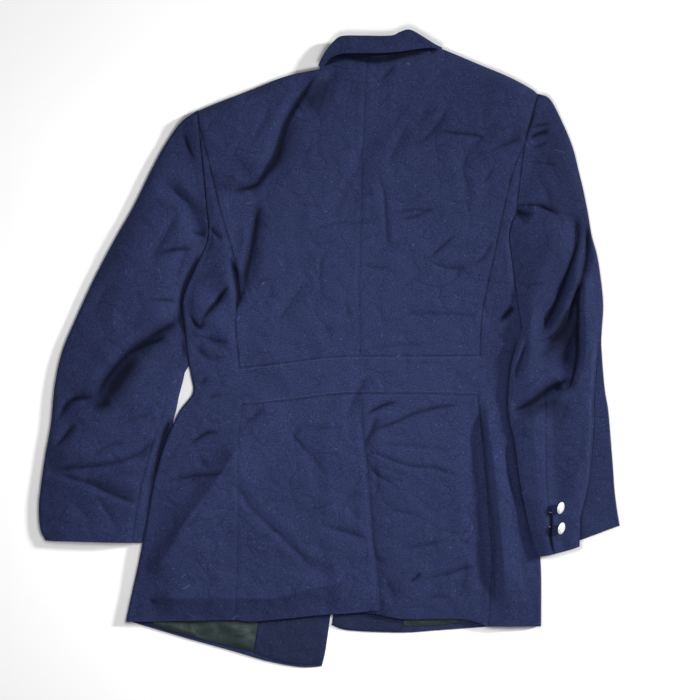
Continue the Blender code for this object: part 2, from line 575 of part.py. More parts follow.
class Sleeve:
    """A flattened sleeve: rings from armhole to cuff, cut into a top and an under sleeve."""

    ROWS = 22
    TOP_COLUMNS = 8
    TURN_COLUMNS = 4

    def __init__(self, side, shape, sections, folds, tuck=None, bow=0.0, rests_on=None):
        self.side, self.folds, self.bow = side, folds, bow
        stations = even(self.ROWS)
        self.stations = stations
        self.outer = sample(shape["outer"], stations)
        self.inner = sample(shape["inner"], stations)
        self.rise = column_of(sections, stations, 1)
        self.elbow = column_of(sections, stations, 2)
        self.hidden_seam = shape["hidden_seam"]
        tuck = tuck or [(0.0, 0.0, 0.0), (1.0, 0.0, 0.0)]
        self.show = column_of(tuck, stations, 1)
        self.depth = column_of(tuck, stations, 2)
        self.rests_on = rests_on
        across = self.outer - self.inner
        self.width = np.linalg.norm(across, axis=1)
        self.across = across / self.width[:, None]
        self.down = np.stack([self.across[:, 1], -self.across[:, 0]], axis=1)
        if side == "left":
            self.down = -self.down
        self.has_tuck = bool(self.show.max() > 0)
        self.edge_rise = np.full(len(stations), 2 * SLEEVE_EDGE_TURN)
        if self.has_tuck:
            folded = smoothstep(self.show / 10.0)
            self.edge_rise += (3 * TUCK_LAYER_RISE - self.edge_rise) * folded

    def support(self, x, y):
        """Middle of the lower layer: on the surface, or over the body's side where it lies on it."""
        if self.rests_on is None:
            return np.full_like(x, FLOOR_LAYER)
        line = smooth_curve(self.rests_on)[0][::-1]
        edge = np.interp(y, line[:, 1], line[:, 0])
        body_top = body_height(np.minimum(x, edge - 3), y) + CLOTH / 2 + LAY_GAP + CLOTH / 2
        over = smoothstep((62 - y) / 34) * smoothstep((edge + 36 - x) / 30)
        return FLOOR_LAYER + (body_top + 0.6 - FLOOR_LAYER) * over

    def place(self, share):
        """Plan points of each ring at shares of its width, from the inner fold to the outer."""
        share = np.broadcast_to(share, (len(self.inner), np.shape(share)[-1]))
        plan = self.inner[:, None] + self.across[:, None] * (share * self.width[:, None])[..., None]
        bulge = self.bow * 4 * share * (1 - share) * smoothstep((self.stations - 0.8) / 0.2)[:, None]
        return plan + self.down[:, None] * bulge[..., None]

    def upper(self, share):
        """Upper layer of each ring at shares of its width; the last share ends above the tuck."""
        limit = 1 - (self.show / self.width)[:, None]
        share = np.broadcast_to(share, (len(self.inner), np.shape(share)[-1])) * limit
        plan = self.place(share)
        x, y = plan[..., 0], plan[..., 1]
        inner_base = self.support(self.inner[:, 0], self.inner[:, 1])[:, None] + 2 * SLEEVE_EDGE_TURN
        outer_base = (FLOOR_LAYER + self.edge_rise)[:, None]
        if self.rests_on is None:
            base = inner_base + (outer_base - inner_base) * share
        else:
            base = self.support(x, y) + 2 * SLEEVE_EDGE_TURN
            extra = self.edge_rise[:, None] - 2 * SLEEVE_EDGE_TURN
            base = base + extra * smoothstep(share / limit * 2 - 0.6)
        pillow = 1 - np.abs(2 * share / limit - 1) ** 2.6
        fade = smoothstep(np.minimum(share / limit, 1 - share / limit) / 0.10)
        height = base + self.rise[:, None] * pillow
        lifted = height + fold_heights(x, y, self.folds) * fade
        height = np.maximum(lifted, self.support(x, y) + CLOTH + 0.5)
        joined_to_body = 1 - smoothstep(self.stations / 0.10)[:, None]
        height = height + (body_height(x, y) - height) * joined_to_body
        return np.concatenate([plan, height[..., None]], axis=-1)

    def lower(self, share):
        """Lower layer of each ring at shares of its width."""
        plan = self.place(share)
        height = self.support(plan[..., 0], plan[..., 1])
        return np.concatenate([plan, height[..., None]], axis=-1)

    def turn(self, where):
        """The fold at one edge, from the upper layer to the lower one, with its outward direction."""
        sign = 1.0 if where == "outer" else -1.0
        share = 1.0 if where == "outer" else 0.0
        high = self.upper(np.array([share]))[:, 0]
        low = self.lower(np.array([share]))[:, 0]
        outward = self.across * sign
        radius = (high[:, 2] - low[:, 2]) / 2
        angles = np.linspace(0, math.pi, self.TURN_COLUMNS + 2)[1:-1]
        if where == "inner" or not self.has_tuck:
            return turn_about(low[:, :2], outward, radius, low[:, 2], angles)
        return self.tucked_turn(high, low, outward, radius)

    def tucked_turn(self, high, low, outward, radius):
        """Three half circles, joined by flat runs: the upper fold, the tuck inside, the lower fold."""
        levels = np.linspace(0, math.pi, 5)
        show, inside = self.show, self.show + self.depth
        plain_angles = np.linspace(0, math.pi, 17)[1:-1]
        step = radius / 3
        centres = [(show, 5, 1.0), (inside, 3, -1.0), (np.zeros_like(show), 1, 1.0)]
        back, rise, out_part, up_part = [], [], [], []
        for offset, level, bulge in centres:
            for angle in levels:
                back.append(offset - bulge * step * math.sin(angle))
                rise.append(step * (level + math.cos(angle)))
                out_part.append(bulge * math.sin(angle))
                up_part.append(bulge * math.cos(angle))
        back, rise = np.array(back).T, np.array(rise).T
        out_part, up_part = np.array(out_part), np.array(up_part)
        plain_back = -radius[:, None] * np.sin(plain_angles)
        plain_rise = radius[:, None] * (1 + np.cos(plain_angles))
        folded = smoothstep(show / 10.0)[:, None]
        back = plain_back + (back - plain_back) * folded
        rise = plain_rise + (rise - plain_rise) * folded
        inset = radius / 3 + radius * 2 / 3 * (1 - folded[:, 0])
        plan = low[:, None, :2] - outward[:, None] * (back + inset[:, None])[..., None]
        level = self.support(plan[..., 0], plan[..., 1]) + rise
        middle = np.concatenate([plan, level[..., None]], axis=-1)
        out = np.sin(plain_angles) + (out_part - np.sin(plain_angles)) * folded
        up = np.cos(plain_angles) + (up_part - np.cos(plain_angles)) * folded
        length = np.maximum(np.hypot(out, up), 1e-6)
        sideways = outward[:, None] * (out / length)[..., None]
        return middle, np.concatenate([sideways, (up / length)[..., None]], axis=-1)

    def off_the_armhole(self, middle):
        """The panel with its seam gaps, its first ring moved clear of the body's armhole."""
        moved = drawn_in(middle)
        moved[0, :, 0] += -ARMHOLE_GAP if self.side == "left" else ARMHOLE_GAP
        return moved

    def build(self, collection):
        """Makes the top and the under sleeve, which meet at the elbow seam and the hidden seam."""
        up = np.array([0.0, 0.0, 1.0])
        outer_inset = SLEEVE_EDGE_TURN / self.width
        seam = (1 - self.elbow)[:, None]
        to_outer = seam + (1 - outer_inset[:, None] - seam) * even(self.TOP_COLUMNS)[None, :]
        top = self.upper(to_outer)
        turn, turn_normal = self.turn("outer")
        back = (1 - outer_inset)[:, None]
        hidden = 1 - self.hidden_seam
        below = self.lower(back + (hidden - back) * even(2)[None, :])
        middle = np.concatenate([top, turn, below], axis=1)
        normal = np.concatenate([np.broadcast_to(up, top.shape), turn_normal,
                                 np.broadcast_to(-up, below.shape)], axis=1)
        top_sleeve = cloth_wall(f"top_sleeve_{self.side}", self.off_the_armhole(middle), normal, CLOTH,
                                "navy_wool", collection)
        inner_inset = (SLEEVE_EDGE_TURN / self.width)[:, None]
        top = self.upper(seam + (inner_inset - seam) * even(2)[None, :])
        turn, turn_normal = self.turn("inner")
        below = self.lower(inner_inset + (hidden - inner_inset) * even(4)[None, :])
        middle = np.concatenate([top, turn, below], axis=1)
        normal = np.concatenate([np.broadcast_to(up, top.shape), turn_normal,
                                 np.broadcast_to(-up, below.shape)], axis=1)
        cloth_wall(f"under_sleeve_{self.side}", self.off_the_armhole(middle), normal, CLOTH,
                   "navy_wool", collection)
        return top_sleeve


def collar(collection):
    """The fall, rolled over at the top, and the stand that joins it to the neckline."""
    columns = even(14)
    fold, edge = sample(COLLAR_FOLD, columns), sample(COLLAR_EDGE, columns)
    neck = sample([(-13, 372.6), *NECKLINE[1:-1], (147, 399.2)], columns)
    outward = fold - edge
    outward /= np.linalg.norm(outward, axis=1, keepdims=True)
    middle_bulge = np.sin(math.pi * columns)
    low = STAND_LAYER + 1.2 * middle_bulge
    radius = np.full(len(columns), COLLAR_TURN)
    share = even(3)[:, None, None]
    fold_start = fold - outward * radius[:, None]
    plan = edge[None] * (1 - share) + fold_start[None] * share
    free_edge = (low + 2 * radius + 3.0 * middle_bulge)[None]
    heights = free_edge + ((low + 2 * radius)[None] - free_edge) * smoothstep(share[..., 0])
    fall = np.concatenate([plan, heights[..., None]], axis=-1)
    turn, turn_normal = turn_about(fold, outward, radius, low, np.linspace(0, math.pi, 6)[1:-1])
    middle = np.concatenate([fall, turn.transpose(1, 0, 2)], axis=0)
    up = np.broadcast_to([0.0, 0.0, 1.0], fall.shape)
    normal = np.concatenate([up, turn_normal.transpose(1, 0, 2)], axis=0)
    cloth_wall("collar_fall", middle, normal, CLOTH, "navy_wool", collection)
    share = even(3)[:, None, None]
    plan = neck[None] * (1 - share) + (fold_start + outward * 0.2)[None] * share
    level = body_height(neck[:, 0], neck[:, 1])[None]
    heights = level + (low[None] - level) * smoothstep(share[..., 0])
    stand_plan = drawn_in(plan, "tb", 0.5)
    flat_panel("collar_stand", stand_plan, heights, CLOTH, "navy_wool", collection)


def cuff_buttons(cloth, collection):
    """Two domed shank buttons beside the right sleeve's vent, tilted as they hang."""
    mesh = cloth.data
    surface = BVHTree.FromPolygons([v.co for v in mesh.vertices], [p.vertices[:] for p in mesh.polygons])
    for name, (plan_x, plan_y) in CUFF_BUTTONS:
        x, y = plan_x - FOOTPRINT_CENTRE[0], plan_y - FOOTPRINT_CENTRE[1]
        bm = bmesh.new()
        verts = [bm.verts.new((r * MM, 0, z * MM)) for r, z in BUTTON_PROFILE]
        for a, b in zip(verts, verts[1:]):
            bm.edges.new((a, b))
        mesh = bpy.data.meshes.new(name)
        bm.to_mesh(mesh)
        bm.free()
        mesh.materials.append(finish_material("silver_button"))
        obj = bpy.data.objects.new(name, mesh)
        collection.objects.link(obj)
        screw = obj.modifiers.new("turned", "SCREW")
        screw.steps = screw.render_steps = 16
        screw.use_merge_vertices = True
        screw.merge_threshold = 0.00001
        screw.use_smooth_shade = True
        tilt = Matrix.Rotation(BUTTON_LEAN, 4, "Z") @ Matrix.Rotation(BUTTON_TILT, 4, "Y")
        rises = []
        for radius, height in BUTTON_PROFILE:
            for angle in np.linspace(0, 2 * math.pi, 16, endpoint=False):
                spot = tilt @ Vector((radius * math.cos(angle), radius * math.sin(angle), height))
                hit = surface.ray_cast(Vector((x + spot.x, y + spot.y, 100)) * MM, Vector((0, 0, -1)))[0]
                rises.append(hit.z / MM - spot.z)
        obj.matrix_world = Matrix.Translation(Vector((x, y, max(rises) + 0.35)) * MM) @ tilt


def main():
    """Builds the whole jacket."""
    clear_scene()
    jacket = bpy.data.collections.new("uniform_dress_jacket")
    bpy.context.scene.collection.children.link(jacket)
    back_uppers(jacket)
    waistband(jacket)
    back_skirts(jacket)
    side_panels(jacket)
    fronts(jacket)
    lapels(jacket)
    hem_linings(jacket)
    left = Sleeve("left", SLEEVE_LEFT, SECTIONS_LEFT, LEFT_SLEEVE_FOLDS)
    left.build(jacket)
    right = Sleeve("right", SLEEVE_RIGHT, SECTIONS_RIGHT, RIGHT_SLEEVE_FOLDS, tuck=TUCK_RIGHT,
                   bow=CUFF_BOW_RIGHT, rests_on=SIDE_EDGE_RIGHT)
    right_top_sleeve = right.build(jacket)
    collar(jacket)
    cuff_buttons(right_top_sleeve, jacket)


main()
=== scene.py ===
"""Uniform dress jacket laid flat and face down, dressed for its photograph.

Every cloth piece is a thin shell on its solid's form, with its folds, seams, stitches
and weave. Lengths are in millimetres until a mesh is made. In plan, +X is the jacket's
own right side, +Y runs from hem to collar, and the surface it lies on is Z = 0.
"""

import logging
import math
from dataclasses import dataclass, field
from enum import Enum
from functools import cache

import bpy
import numpy as np
from mathutils import Matrix, Vector
from mathutils.bvhtree import BVHTree


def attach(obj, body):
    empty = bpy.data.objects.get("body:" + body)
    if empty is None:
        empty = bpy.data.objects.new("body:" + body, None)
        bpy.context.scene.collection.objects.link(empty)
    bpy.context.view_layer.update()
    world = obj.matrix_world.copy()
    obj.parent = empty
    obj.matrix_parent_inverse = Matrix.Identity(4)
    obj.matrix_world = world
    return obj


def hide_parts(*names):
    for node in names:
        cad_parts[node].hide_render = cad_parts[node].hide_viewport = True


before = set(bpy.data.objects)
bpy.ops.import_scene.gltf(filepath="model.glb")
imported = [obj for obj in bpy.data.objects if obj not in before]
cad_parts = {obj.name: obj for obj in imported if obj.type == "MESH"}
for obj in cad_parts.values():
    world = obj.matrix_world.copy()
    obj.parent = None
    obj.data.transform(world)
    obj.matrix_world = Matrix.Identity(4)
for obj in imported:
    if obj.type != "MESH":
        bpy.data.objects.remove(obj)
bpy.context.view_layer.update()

LOG = logging.getLogger("jacket")
MM = 0.001
UP = np.array([0.0, 0.0, 1.0])
Socket = bpy.types.NodeSocket
Feed = float | tuple | Socket

# Plan place that becomes the frame's origin
FOOTPRINT_CENTRE = (-0.71, -0.25)
# Thickness of the cloths, and the gaps at seams, between layers and at the armholes
CLOTH = 2.2
LINING = 1.0
SEAM_GAP = 0.08
LAY_GAP = 0.4
ARMHOLE_GAP = 0.3
# Step of the side bodies' rows below the armpit
ARMPIT_STEP = 1.5
# Usual and lowest height of the back's wall, its rise over the solids, and its roll at the shoulders
BODY_REST = 7.0
BODY_LOWEST = 5.0
BODY_LIFT = 1.4
SHOULDER_ROLL = 16.0
# Radius of the sleeves' folds, and the rise of the left skirt over the vent's underlap
SLEEVE_EDGE_TURN = 2.5
UNDERLAP_LIFT = CLOTH + LAY_GAP
# How far round a lapel the front above it stays raised, and the length of its slope beyond that
LAPEL_MARGIN = 16.0
LAPEL_RAMP = 22.0
# How far the cuff buttons tip over, and the turn of that direction
BUTTON_TILT = math.radians(52)
BUTTON_LEAN = math.radians(-14)
# Height of the middle of the lowest cloth layer, and of the linings on it
FLOOR_LAYER = CLOTH / 2
LINING_LAYER = CLOTH + 0.3 + LINING / 2
# Depth of the creases over their rows' heights, and the longest fade at their ends
DEPTH = 1.6
CREASE_FADE = 30.0
# Distances of a grid's first rows from its edge
EDGE_STEPS = (0.0, 0.6, 1.4, 2.6)

# Seams and edges of the back, as plan points (x, y)
CENTRE_SEAM = [(49, 388), (47, 343), (44, 278), (41, 174), (39, 80), (40, -9)]
NECKLINE = [(-16, 372), (15, 384), (49, 388), (104, 393), (150, 399)]
SHOULDER_LEFT = [(-176, 317), (-142, 331), (-100, 347), (-59, 363), (-16, 372)]
SHOULDER_RIGHT = [(150, 399), (198, 379), (239, 362), (267, 347), (277, 339)]
ARMHOLE_LEFT = [(-176, 317), (-175, 308), (-174, 300)]
ARMHOLE_RIGHT = [(277, 339), (268, 310), (258, 270)]
BACK_SEAM_LEFT = [(-174, 300), (-164, 262), (-154, 219), (-144, 180), (-134, 145), (-125, 112),
                  (-122, 78), (-125, 40), (-124, 11), (-120, -25)]
BACK_SEAM_RIGHT = [(258, 270), (249, 252), (241, 227), (234, 198), (227, 166),
                   (221, 136), (213, 100), (206, 68), (201, 35), (200, -8)]
BAND_END_LEFT = [(-120, -25), (-118, -50), (-116, -74)]
BAND_END_RIGHT = [(200, -8), (199, -35), (197, -61)]
SKIRT_SEAM_LEFT = [(-116, -74), (-121, -116), (-122, -211), (-124, -309), (-125, -360)]
SKIRT_SEAM_RIGHT = [(197, -61), (205, -140), (211, -211), (216, -282), (213, -334), (210, -369)]
WAIST_TOP = [(-120, -25), (-53, -17), (-7, -11), (40, -9), (120, -9), (200, -8)]
WAIST_BOTTOM = [(-116, -74), (-60, -69), (0, -61), (40, -59), (120, -59), (197, -61)]
HEM_LEFT = [(-125, -360), (-102, -362), (-56, -358), (-15, -354), (27, -351), (67, -347)]
HEM_RIGHT = [(27, -350), (57, -352), (97, -359), (150, -359), (182, -360), (210, -369)]
VENT = [(40, -59), (44, -116), (49, -154), (54, -213), (57, -255), (64, -309), (67, -347)]
UNDERLAP = [(31, -59), (10, -110), (10, -170), (16, -255), (27, -350)]

# Side folds of the flat body, from armpit to hem
SIDE_EDGE_LEFT = [(-160, 154), (-166, 136), (-175, 116), (-192, 78), (-196, 59), (-192, 19), (-188, -16),
                  (-184, -36), (-182, -59), (-200, -84), (-219, -126), (-227, -152),
                  (-236, -186), (-242, -222), (-253, -281), (-266, -339), (-271, -363)]
SIDE_EDGE_RIGHT = [(247, 176), (241, 162), (238, 144), (242, 116), (246, 86), (251, 56), (254, 37),
                   (256, 12), (255, -35), (257, -68), (262, -134), (269, -201),
                   (277, -262), (280, -300), (280, -369)]

# Edges of the two fronts, which lie underneath
FRONT_SEAM_LEFT = [(-162, 184), (-135, 90), (-130, 0), (-150, -150), (-176, -300), (-190, -386)]
FRONT_SEAM_RIGHT = [(248, 206), (212, 100), (204, 0), (212, -150), (212, -300), (210, -370)]
FRONT_ARMHOLE_LEFT = [(-176, 317), (-169, 265), (-162, 184)]
FRONT_ARMHOLE_RIGHT = [(277, 339), (258, 270), (248, 206)]
FRONT_EDGE_LEFT = [(-16, 370), (12, 200), (28, 44), (29, -20), (22, -120), (4, -320), (-5, -395),
                   (-11, -423)]
FRONT_EDGE_RIGHT = [(150, 397), (92, 200), (39, 44), (34, -20), (26, -120), (8, -320), (2, -368)]
FRONT_HEM_LEFT = [(-190, -386), (-132, -402), (-84, -416), (-40, -424), (-11, -423)]
FRONT_HEM_RIGHT = [(2, -368), (24, -375), (93, -378), (141, -375), (210, -370)]

SIDE_CURVES = {
    "left": (BACK_SEAM_LEFT, BAND_END_LEFT, SKIRT_SEAM_LEFT, SIDE_EDGE_LEFT, FRONT_SEAM_LEFT),
    "right": (BACK_SEAM_RIGHT, BAND_END_RIGHT, SKIRT_SEAM_RIGHT, SIDE_EDGE_RIGHT, FRONT_SEAM_RIGHT),
}

# Lapels and collar leaves, folded onto the outside of the fronts
LAPELS = {
    "left": {"roll": [(-3, 330), (10, 200), (27, 44)],
             "edge": [(-82, 276), (-62, 180), (24, 44)],
             "gorge": [(-82, 276), (-45, 306), (-3, 330)]},
    "right": {"roll": [(132, 350), (90, 200), (40, 44)],
              "edge": [(206, 306), (160, 190), (43, 44)],
              "gorge": [(206, 306), (172, 330), (132, 350)]},
}
# Collar leaves: tip, shoulder end, neck end, end at the roll line
COLLAR_LEAVES = {
    "left": [(-84, 281), (-72, 326), (-24, 354), (-8, 333)],
    "right": [(208, 311), (203, 346), (150, 380), (137, 353)],
}

# Sleeves: outer and inner fold from shoulder to cuff, and the elbow seam between them
SLEEVE_LEFT = {
    "outer": [(-176, 317), (-200, 299), (-222, 267), (-239, 235), (-262, 188), (-289, 140),
              (-314, 92), (-336, 44), (-356, -4), (-366, -50), (-371, -100), (-378, -140),
              (-384, -180), (-387, -211), (-385, -240), (-378, -255)],
    "inner": [(-161, 154), (-171, 136), (-181, 116), (-198, 80), (-203, 59), (-199, 25), (-192, -8),
              (-195, -34), (-201, -58), (-210, -96), (-224, -124), (-232, -152),
              (-241, -186), (-247, -222), (-251, -258)],
    "hidden_seam": 0.30,
}
SLEEVE_RIGHT = {
    "outer": [(277, 339), (293, 331), (310, 299), (323, 267), (331, 235), (337, 210),
              (343, 180), (348, 150), (355, 124), (360, 92), (363, 60), (362, 28), (361, 0),
              (365, -52), (370, -84), (374, -132), (378, -180), (382, -215), (385, -236)],
    "inner": [(247, 176), (245, 162), (244, 144), (248, 116), (251, 86), (255, 56), (257, 37), (252, 16),
              (242, -18), (238, -55), (238, -86), (246, -123), (253, -174), (260, -211),
              (270, -252), (278, -275)],
    "hidden_seam": 0.25,
}
CUFF_BOW_RIGHT = 6.0
# Where the right cuff's lower layer is drawn up beside the tuck: start and end in x, and how far
CUFF_NOTCH = (331, 385, 22.0)

# Stations of a sleeve, from armhole (0) to cuff (1): end of its blend with the body, start of the
# elbow seam that shows, start of the notch at the cuff
BLEND_TO = 0.10
ELBOW_SEAM_FROM = 0.45
CUFF_NOTCH_FROM = 0.86
# Plan heights between which the surface shows beside the left sleeve, and above which the right is closed
LEFT_GAP = (-106, -16)
RIGHT_GAP_TOP = 5
# Plan height below which the right sleeve lies on the body, and how far it does beyond the side fold
LIES_BELOW = 62
LIES_BEYOND = 36
# Shadow on the right side body beside the sleeve: strength, width, highest place and length of its fade
SLEEVE_SHADOW = (0.85, 4.0, 170, 50)

# Height and elbow seam of each sleeve at stations from armhole (0) to cuff (1)
# station, rise over the edge turns, elbow seam's share of the width from the outer fold
SECTIONS_LEFT = [(0.00, 0.0, 0.965), (0.12, 9.0, 0.955), (0.30, 11.0, 0.945), (0.45, 9.0, 0.93),
                 (0.60, 8.0, 0.91), (0.80, 7.0, 0.90), (1.00, 6.5, 0.895)]
SECTIONS_RIGHT = [(0.00, 0.0, 0.90), (0.12, 9.0, 0.72), (0.30, 12.0, 0.62), (0.45, 11.0, 0.62),
                  (0.60, 10.0, 0.60), (0.80, 8.5, 0.66), (1.00, 6.5, 0.70)]

# Right sleeve's long tuck: station, width of the layer that shows beyond it, hidden depth
TUCK_RIGHT = [(0.00, 0.0, 0.0), (0.52, 0.0, 0.0), (0.62, 10.0, 8.0), (0.72, 22.0, 12.0),
              (0.84, 33.0, 15.0), (1.00, 52.0, 16.0)]
TUCK_LAYER_RISE = 3.3

# Largest folds on the back: start, end, height, half width to the left of the line, to its right
BODY_FOLDS = [
    ((-38, 345), (-92, 236), 5.0, 16.0, 40.0),
    ((-12, 330), (-80, 215), -2.6, 30.0, 16.0),
    ((104, 356), (16, 180), -2.4, 18.0, 18.0),
    ((-150, 200), (-132, 62), 5.0, 15.0, 17.0),
    ((-182, 70), (-130, 10), 4.5, 18.0, 18.0),
    ((60, 300), (190, 290), 2.0, 26.0, 26.0),
    ((-84, -82), (-232, -300), 4.5, 40.0, 34.0),
    ((-108, -206), (-24, -288), 3.2, 17.0, 20.0),
    ((-215, -330), (0, -312), 4.0, 22.0, 24.0),
    ((222, -95), (240, -355), 6.5, 17.0, 17.0),
    ((206, 40), (252, 68), -2.4, 15.0, 15.0),
    ((76, -140), (180, -168), 2.4, 22.0, 22.0),
    ((60, -200), (70, -320), -1.8, 15.0, 15.0),
]
SHOULDER_PADS = [((-128, 292), 11.0, 62.0), ((222, 312), 11.0, 62.0)]
NECK_RISE = ((66, 396), 4.0, 60.0)

# Largest folds of the sleeves, in the same form
LEFT_SLEEVE_FOLDS = [
    ((-208, 30), (-306, -62), 8.0, 17.0, 26.0),
    ((-190, 8), (-300, -72), -4.0, 16.0, 16.0),
    ((-222, 224), (-164, 160), -4.5, 15.0, 15.0),
    ((-366, -132), (-262, -160), 4.0, 15.0, 17.0),
    ((-300, 80), (-240, 180), 2.5, 22.0, 22.0),
    ((-368, -168), (-250, -210), 3.0, 16.0, 16.0),
]
RIGHT_SLEEVE_FOLDS = [
    ((326, 186), (276, 30), -5.0, 15.0, 15.0),
    ((306, 150), (262, 40), 4.5, 16.0, 17.0),
    ((334, 100), (292, 14), 5.0, 15.0, 15.0),
    ((332, 40), (300, -30), -5.0, 16.0, 16.0),
    ((316, -38), (244, -84), -4.5, 15.0, 15.0),
    ((316, -62), (250, -102), 4.5, 15.0, 15.0),
    ((350, 20), (336, -180), 3.5, 15.0, 15.0),
]

# Edge roll of the collar fall and its free edge, left to right
COLLAR_FOLD = [(-15, 376), (-5, 395), (9, 411), (20, 415), (43, 415), (80, 415), (93, 420),
               (102, 423), (109, 422), (120, 416), (139, 404), (149, 399)]
COLLAR_EDGE = [(-11, 371), (0, 385), (14, 391), (30, 392), (56, 392), (82, 393), (106, 396),
               (126, 399), (139, 399), (146, 395)]
COLLAR_TURN = 2.3
STAND_LAYER = 9.6

# Cuff buttons on the right sleeve: name, plan place of the disc's middle
CUFF_BUTTONS = [("cuff_button_upper", (305, -210)), ("cuff_button_lower", (306, -237))]
# Short pale threads that close the right cuff's vent
VENT_THREADS = [[(291, -216), (294, -217)], [(290, -235), (293, -236)]]


def length_so_far(line: np.ndarray) -> np.ndarray:
    """Length of a line from its first point to each of its points."""
    return np.concatenate([[0], np.cumsum(np.linalg.norm(np.diff(line, axis=0), axis=1))])


def smooth_curve(points: list, per_span: int = 16) -> tuple[np.ndarray, np.ndarray]:
    """A dense Catmull-Rom line through plan points.

    Args:
        points: Plan points that the line passes through.
        per_span: Steps between two of them.

    Returns:
        The line's places, and its length so far at each of them.
    """
    p = np.array(points, float)
    padded = np.vstack([2 * p[0] - p[1], p, 2 * p[-1] - p[-2]])
    t = np.linspace(0, 1, per_span, endpoint=False)[:, None]
    spans = []
    for i in range(len(p) - 1):
        a, b, c, d = padded[i:i + 4]
        spans.append(0.5 * (2 * b + (c - a) * t + (2 * a - 5 * b + 4 * c - d) * t ** 2
                            + (3 * b - a - 3 * c + d) * t ** 3))
    line = np.vstack(spans + [p[-1:]])
    return line, length_so_far(line)


def smoothstep(value: np.ndarray) -> np.ndarray:
    """0 below 0, 1 above 1, and a smooth rise between."""
    t = np.clip(value, 0, 1)
    return t * t * (3 - 2 * t)


def ripple(x: np.ndarray, y: np.ndarray, wave: float, seed: int) -> np.ndarray:
    """Soft uneven waves in plan.

    Args:
        x: Plan places, across.
        y: Plan places, along.
        wave: Usual length of a wave, in millimetres.
        seed: Start of the fixed random numbers.

    Returns:
        Heights of about -1 to 1.
    """
    rng = np.random.default_rng(seed)
    total = np.zeros_like(x, float)
    for _ in range(7):
        angle, phase = rng.uniform(0, 2 * math.pi, 2)
        turn = 2 * math.pi / (wave * rng.uniform(0.65, 1.6))
        total += np.sin((x * math.cos(angle) + y * math.sin(angle)) * turn + phase)
    return total / 2.6


def crumple(x: np.ndarray, y: np.ndarray, seed: int) -> np.ndarray:
    """Faint sharp wrinkles in patches, in millimetres: cloth that was folded away and laid out again.

    Args:
        x: Plan places, across.
        y: Plan places, along.
        seed: Start of the fixed random numbers.

    Returns:
        Heights of about -0.6 to 0.6.
    """
    rng = np.random.default_rng(seed + 100)
    bent_x, bent_y = x + 9 * ripple(x, y, 90.0, seed + 7), y + 9 * ripple(x, y, 90.0, seed + 8)
    total = np.zeros_like(x, float)
    for index in range(6):
        angle, phase = rng.uniform(0, math.pi), rng.uniform(0, 2 * math.pi)
        wave = rng.uniform(26.0, 60.0)
        line = (bent_x * math.cos(angle) + bent_y * math.sin(angle)) * math.pi / wave + phase
        patch = smoothstep(0.45 + 0.8 * ripple(x, y, 110.0, seed + 20 + index))
        total += patch * (0.64 - np.abs(np.sin(line))) * wave / 46.0
    return 0.55 * total


@dataclass(frozen=True)
class Crease:
    """A trough or ridge in the cloth along a line in plan, with painted shade along it.

    Attributes:
        path: Plan points of its deepest or highest line.
        height: Its height there, below 0 for a trough; 0 where it is a band of painted shade alone.
        left: How far it spreads to the left of the path's direction.
        right: How far it spreads to the right.
        shade: Strength of the painted shade along the line, from 0 to 1; beside a ridge a painted shadow on
            its right flank only.
    """

    path: list
    height: float
    left: float
    right: float
    shade: float = 0.0

    def add_to(self, x: np.ndarray, y: np.ndarray, rise: np.ndarray, painted_shade: np.ndarray) -> None:
        """Adds the crease to flat lists of heights and of painted shade.

        Args:
            x: Plan places, across.
            y: Plan places, along.
            rise: Heights, changed in place.
            painted_shade: Painted shade, changed in place.
        """
        line, length = smooth_curve(self.path, 6)
        reach = 2.4 * max(self.left, self.right)
        low, high = line.min(0) - reach, line.max(0) + reach
        near = np.flatnonzero((x > low[0]) & (x < high[0]) & (y > low[1]) & (y < high[1]))
        if not len(near):
            return
        start, step = line[:-1], np.diff(line, axis=0)
        size = np.maximum(np.linalg.norm(step, axis=1), 1e-9)
        dx, dy = x[near, None] - start[:, 0], y[near, None] - start[:, 1]
        share = np.clip((dx * step[:, 0] + dy * step[:, 1]) / size ** 2, 0, 1)
        off = np.hypot(dx - share * step[:, 0], dy - share * step[:, 1])
        pick = (np.arange(len(near)), off.argmin(1))
        side = (dy * step[:, 0] - dx * step[:, 1])[pick]
        run = length[:-1][pick[1]] + share[pick] * size[pick[1]]
        off = off[pick]
        total = length[-1]
        fade = min(0.38 * total, CREASE_FADE)
        ends = smoothstep(run / fade) * smoothstep((total - run) / fade)
        phase = self.path[0][0] * 0.37 + self.path[0][1] * 0.21
        uneven = 1 + 0.16 * np.sin(run / 21.0 + phase) + 0.08 * np.sin(run / 9.3 + phase * 2)
        width = np.where(side > 0, self.left, self.right)
        profile = np.clip(1 - off / (2.3 * width), 0, 1) ** 1.55
        if self.height:
            rise[near] += DEPTH * self.height * ends * uneven * profile
        # Painted shade along the line; beside a ridge, a painted shadow on its steep right flank
        if self.shade > 0:
            dark = self.left if self.height == 0 else min(max(min(self.left, self.right) * 0.6, 1.6), 4.0)
            reached = 1.0
            if self.height > 0:
                dark, reached = 1.3 * self.right, side <= 0
            painted_shade[near] += 2.2 * self.shade * ends ** 0.6 * np.exp(-(off / dark) ** 1.4) * reached


def creases(rows: list) -> list:
    """Creases from rows of their path, height, spread to the left and to the right, and painted shade."""
    return [Crease(*row) for row in rows]
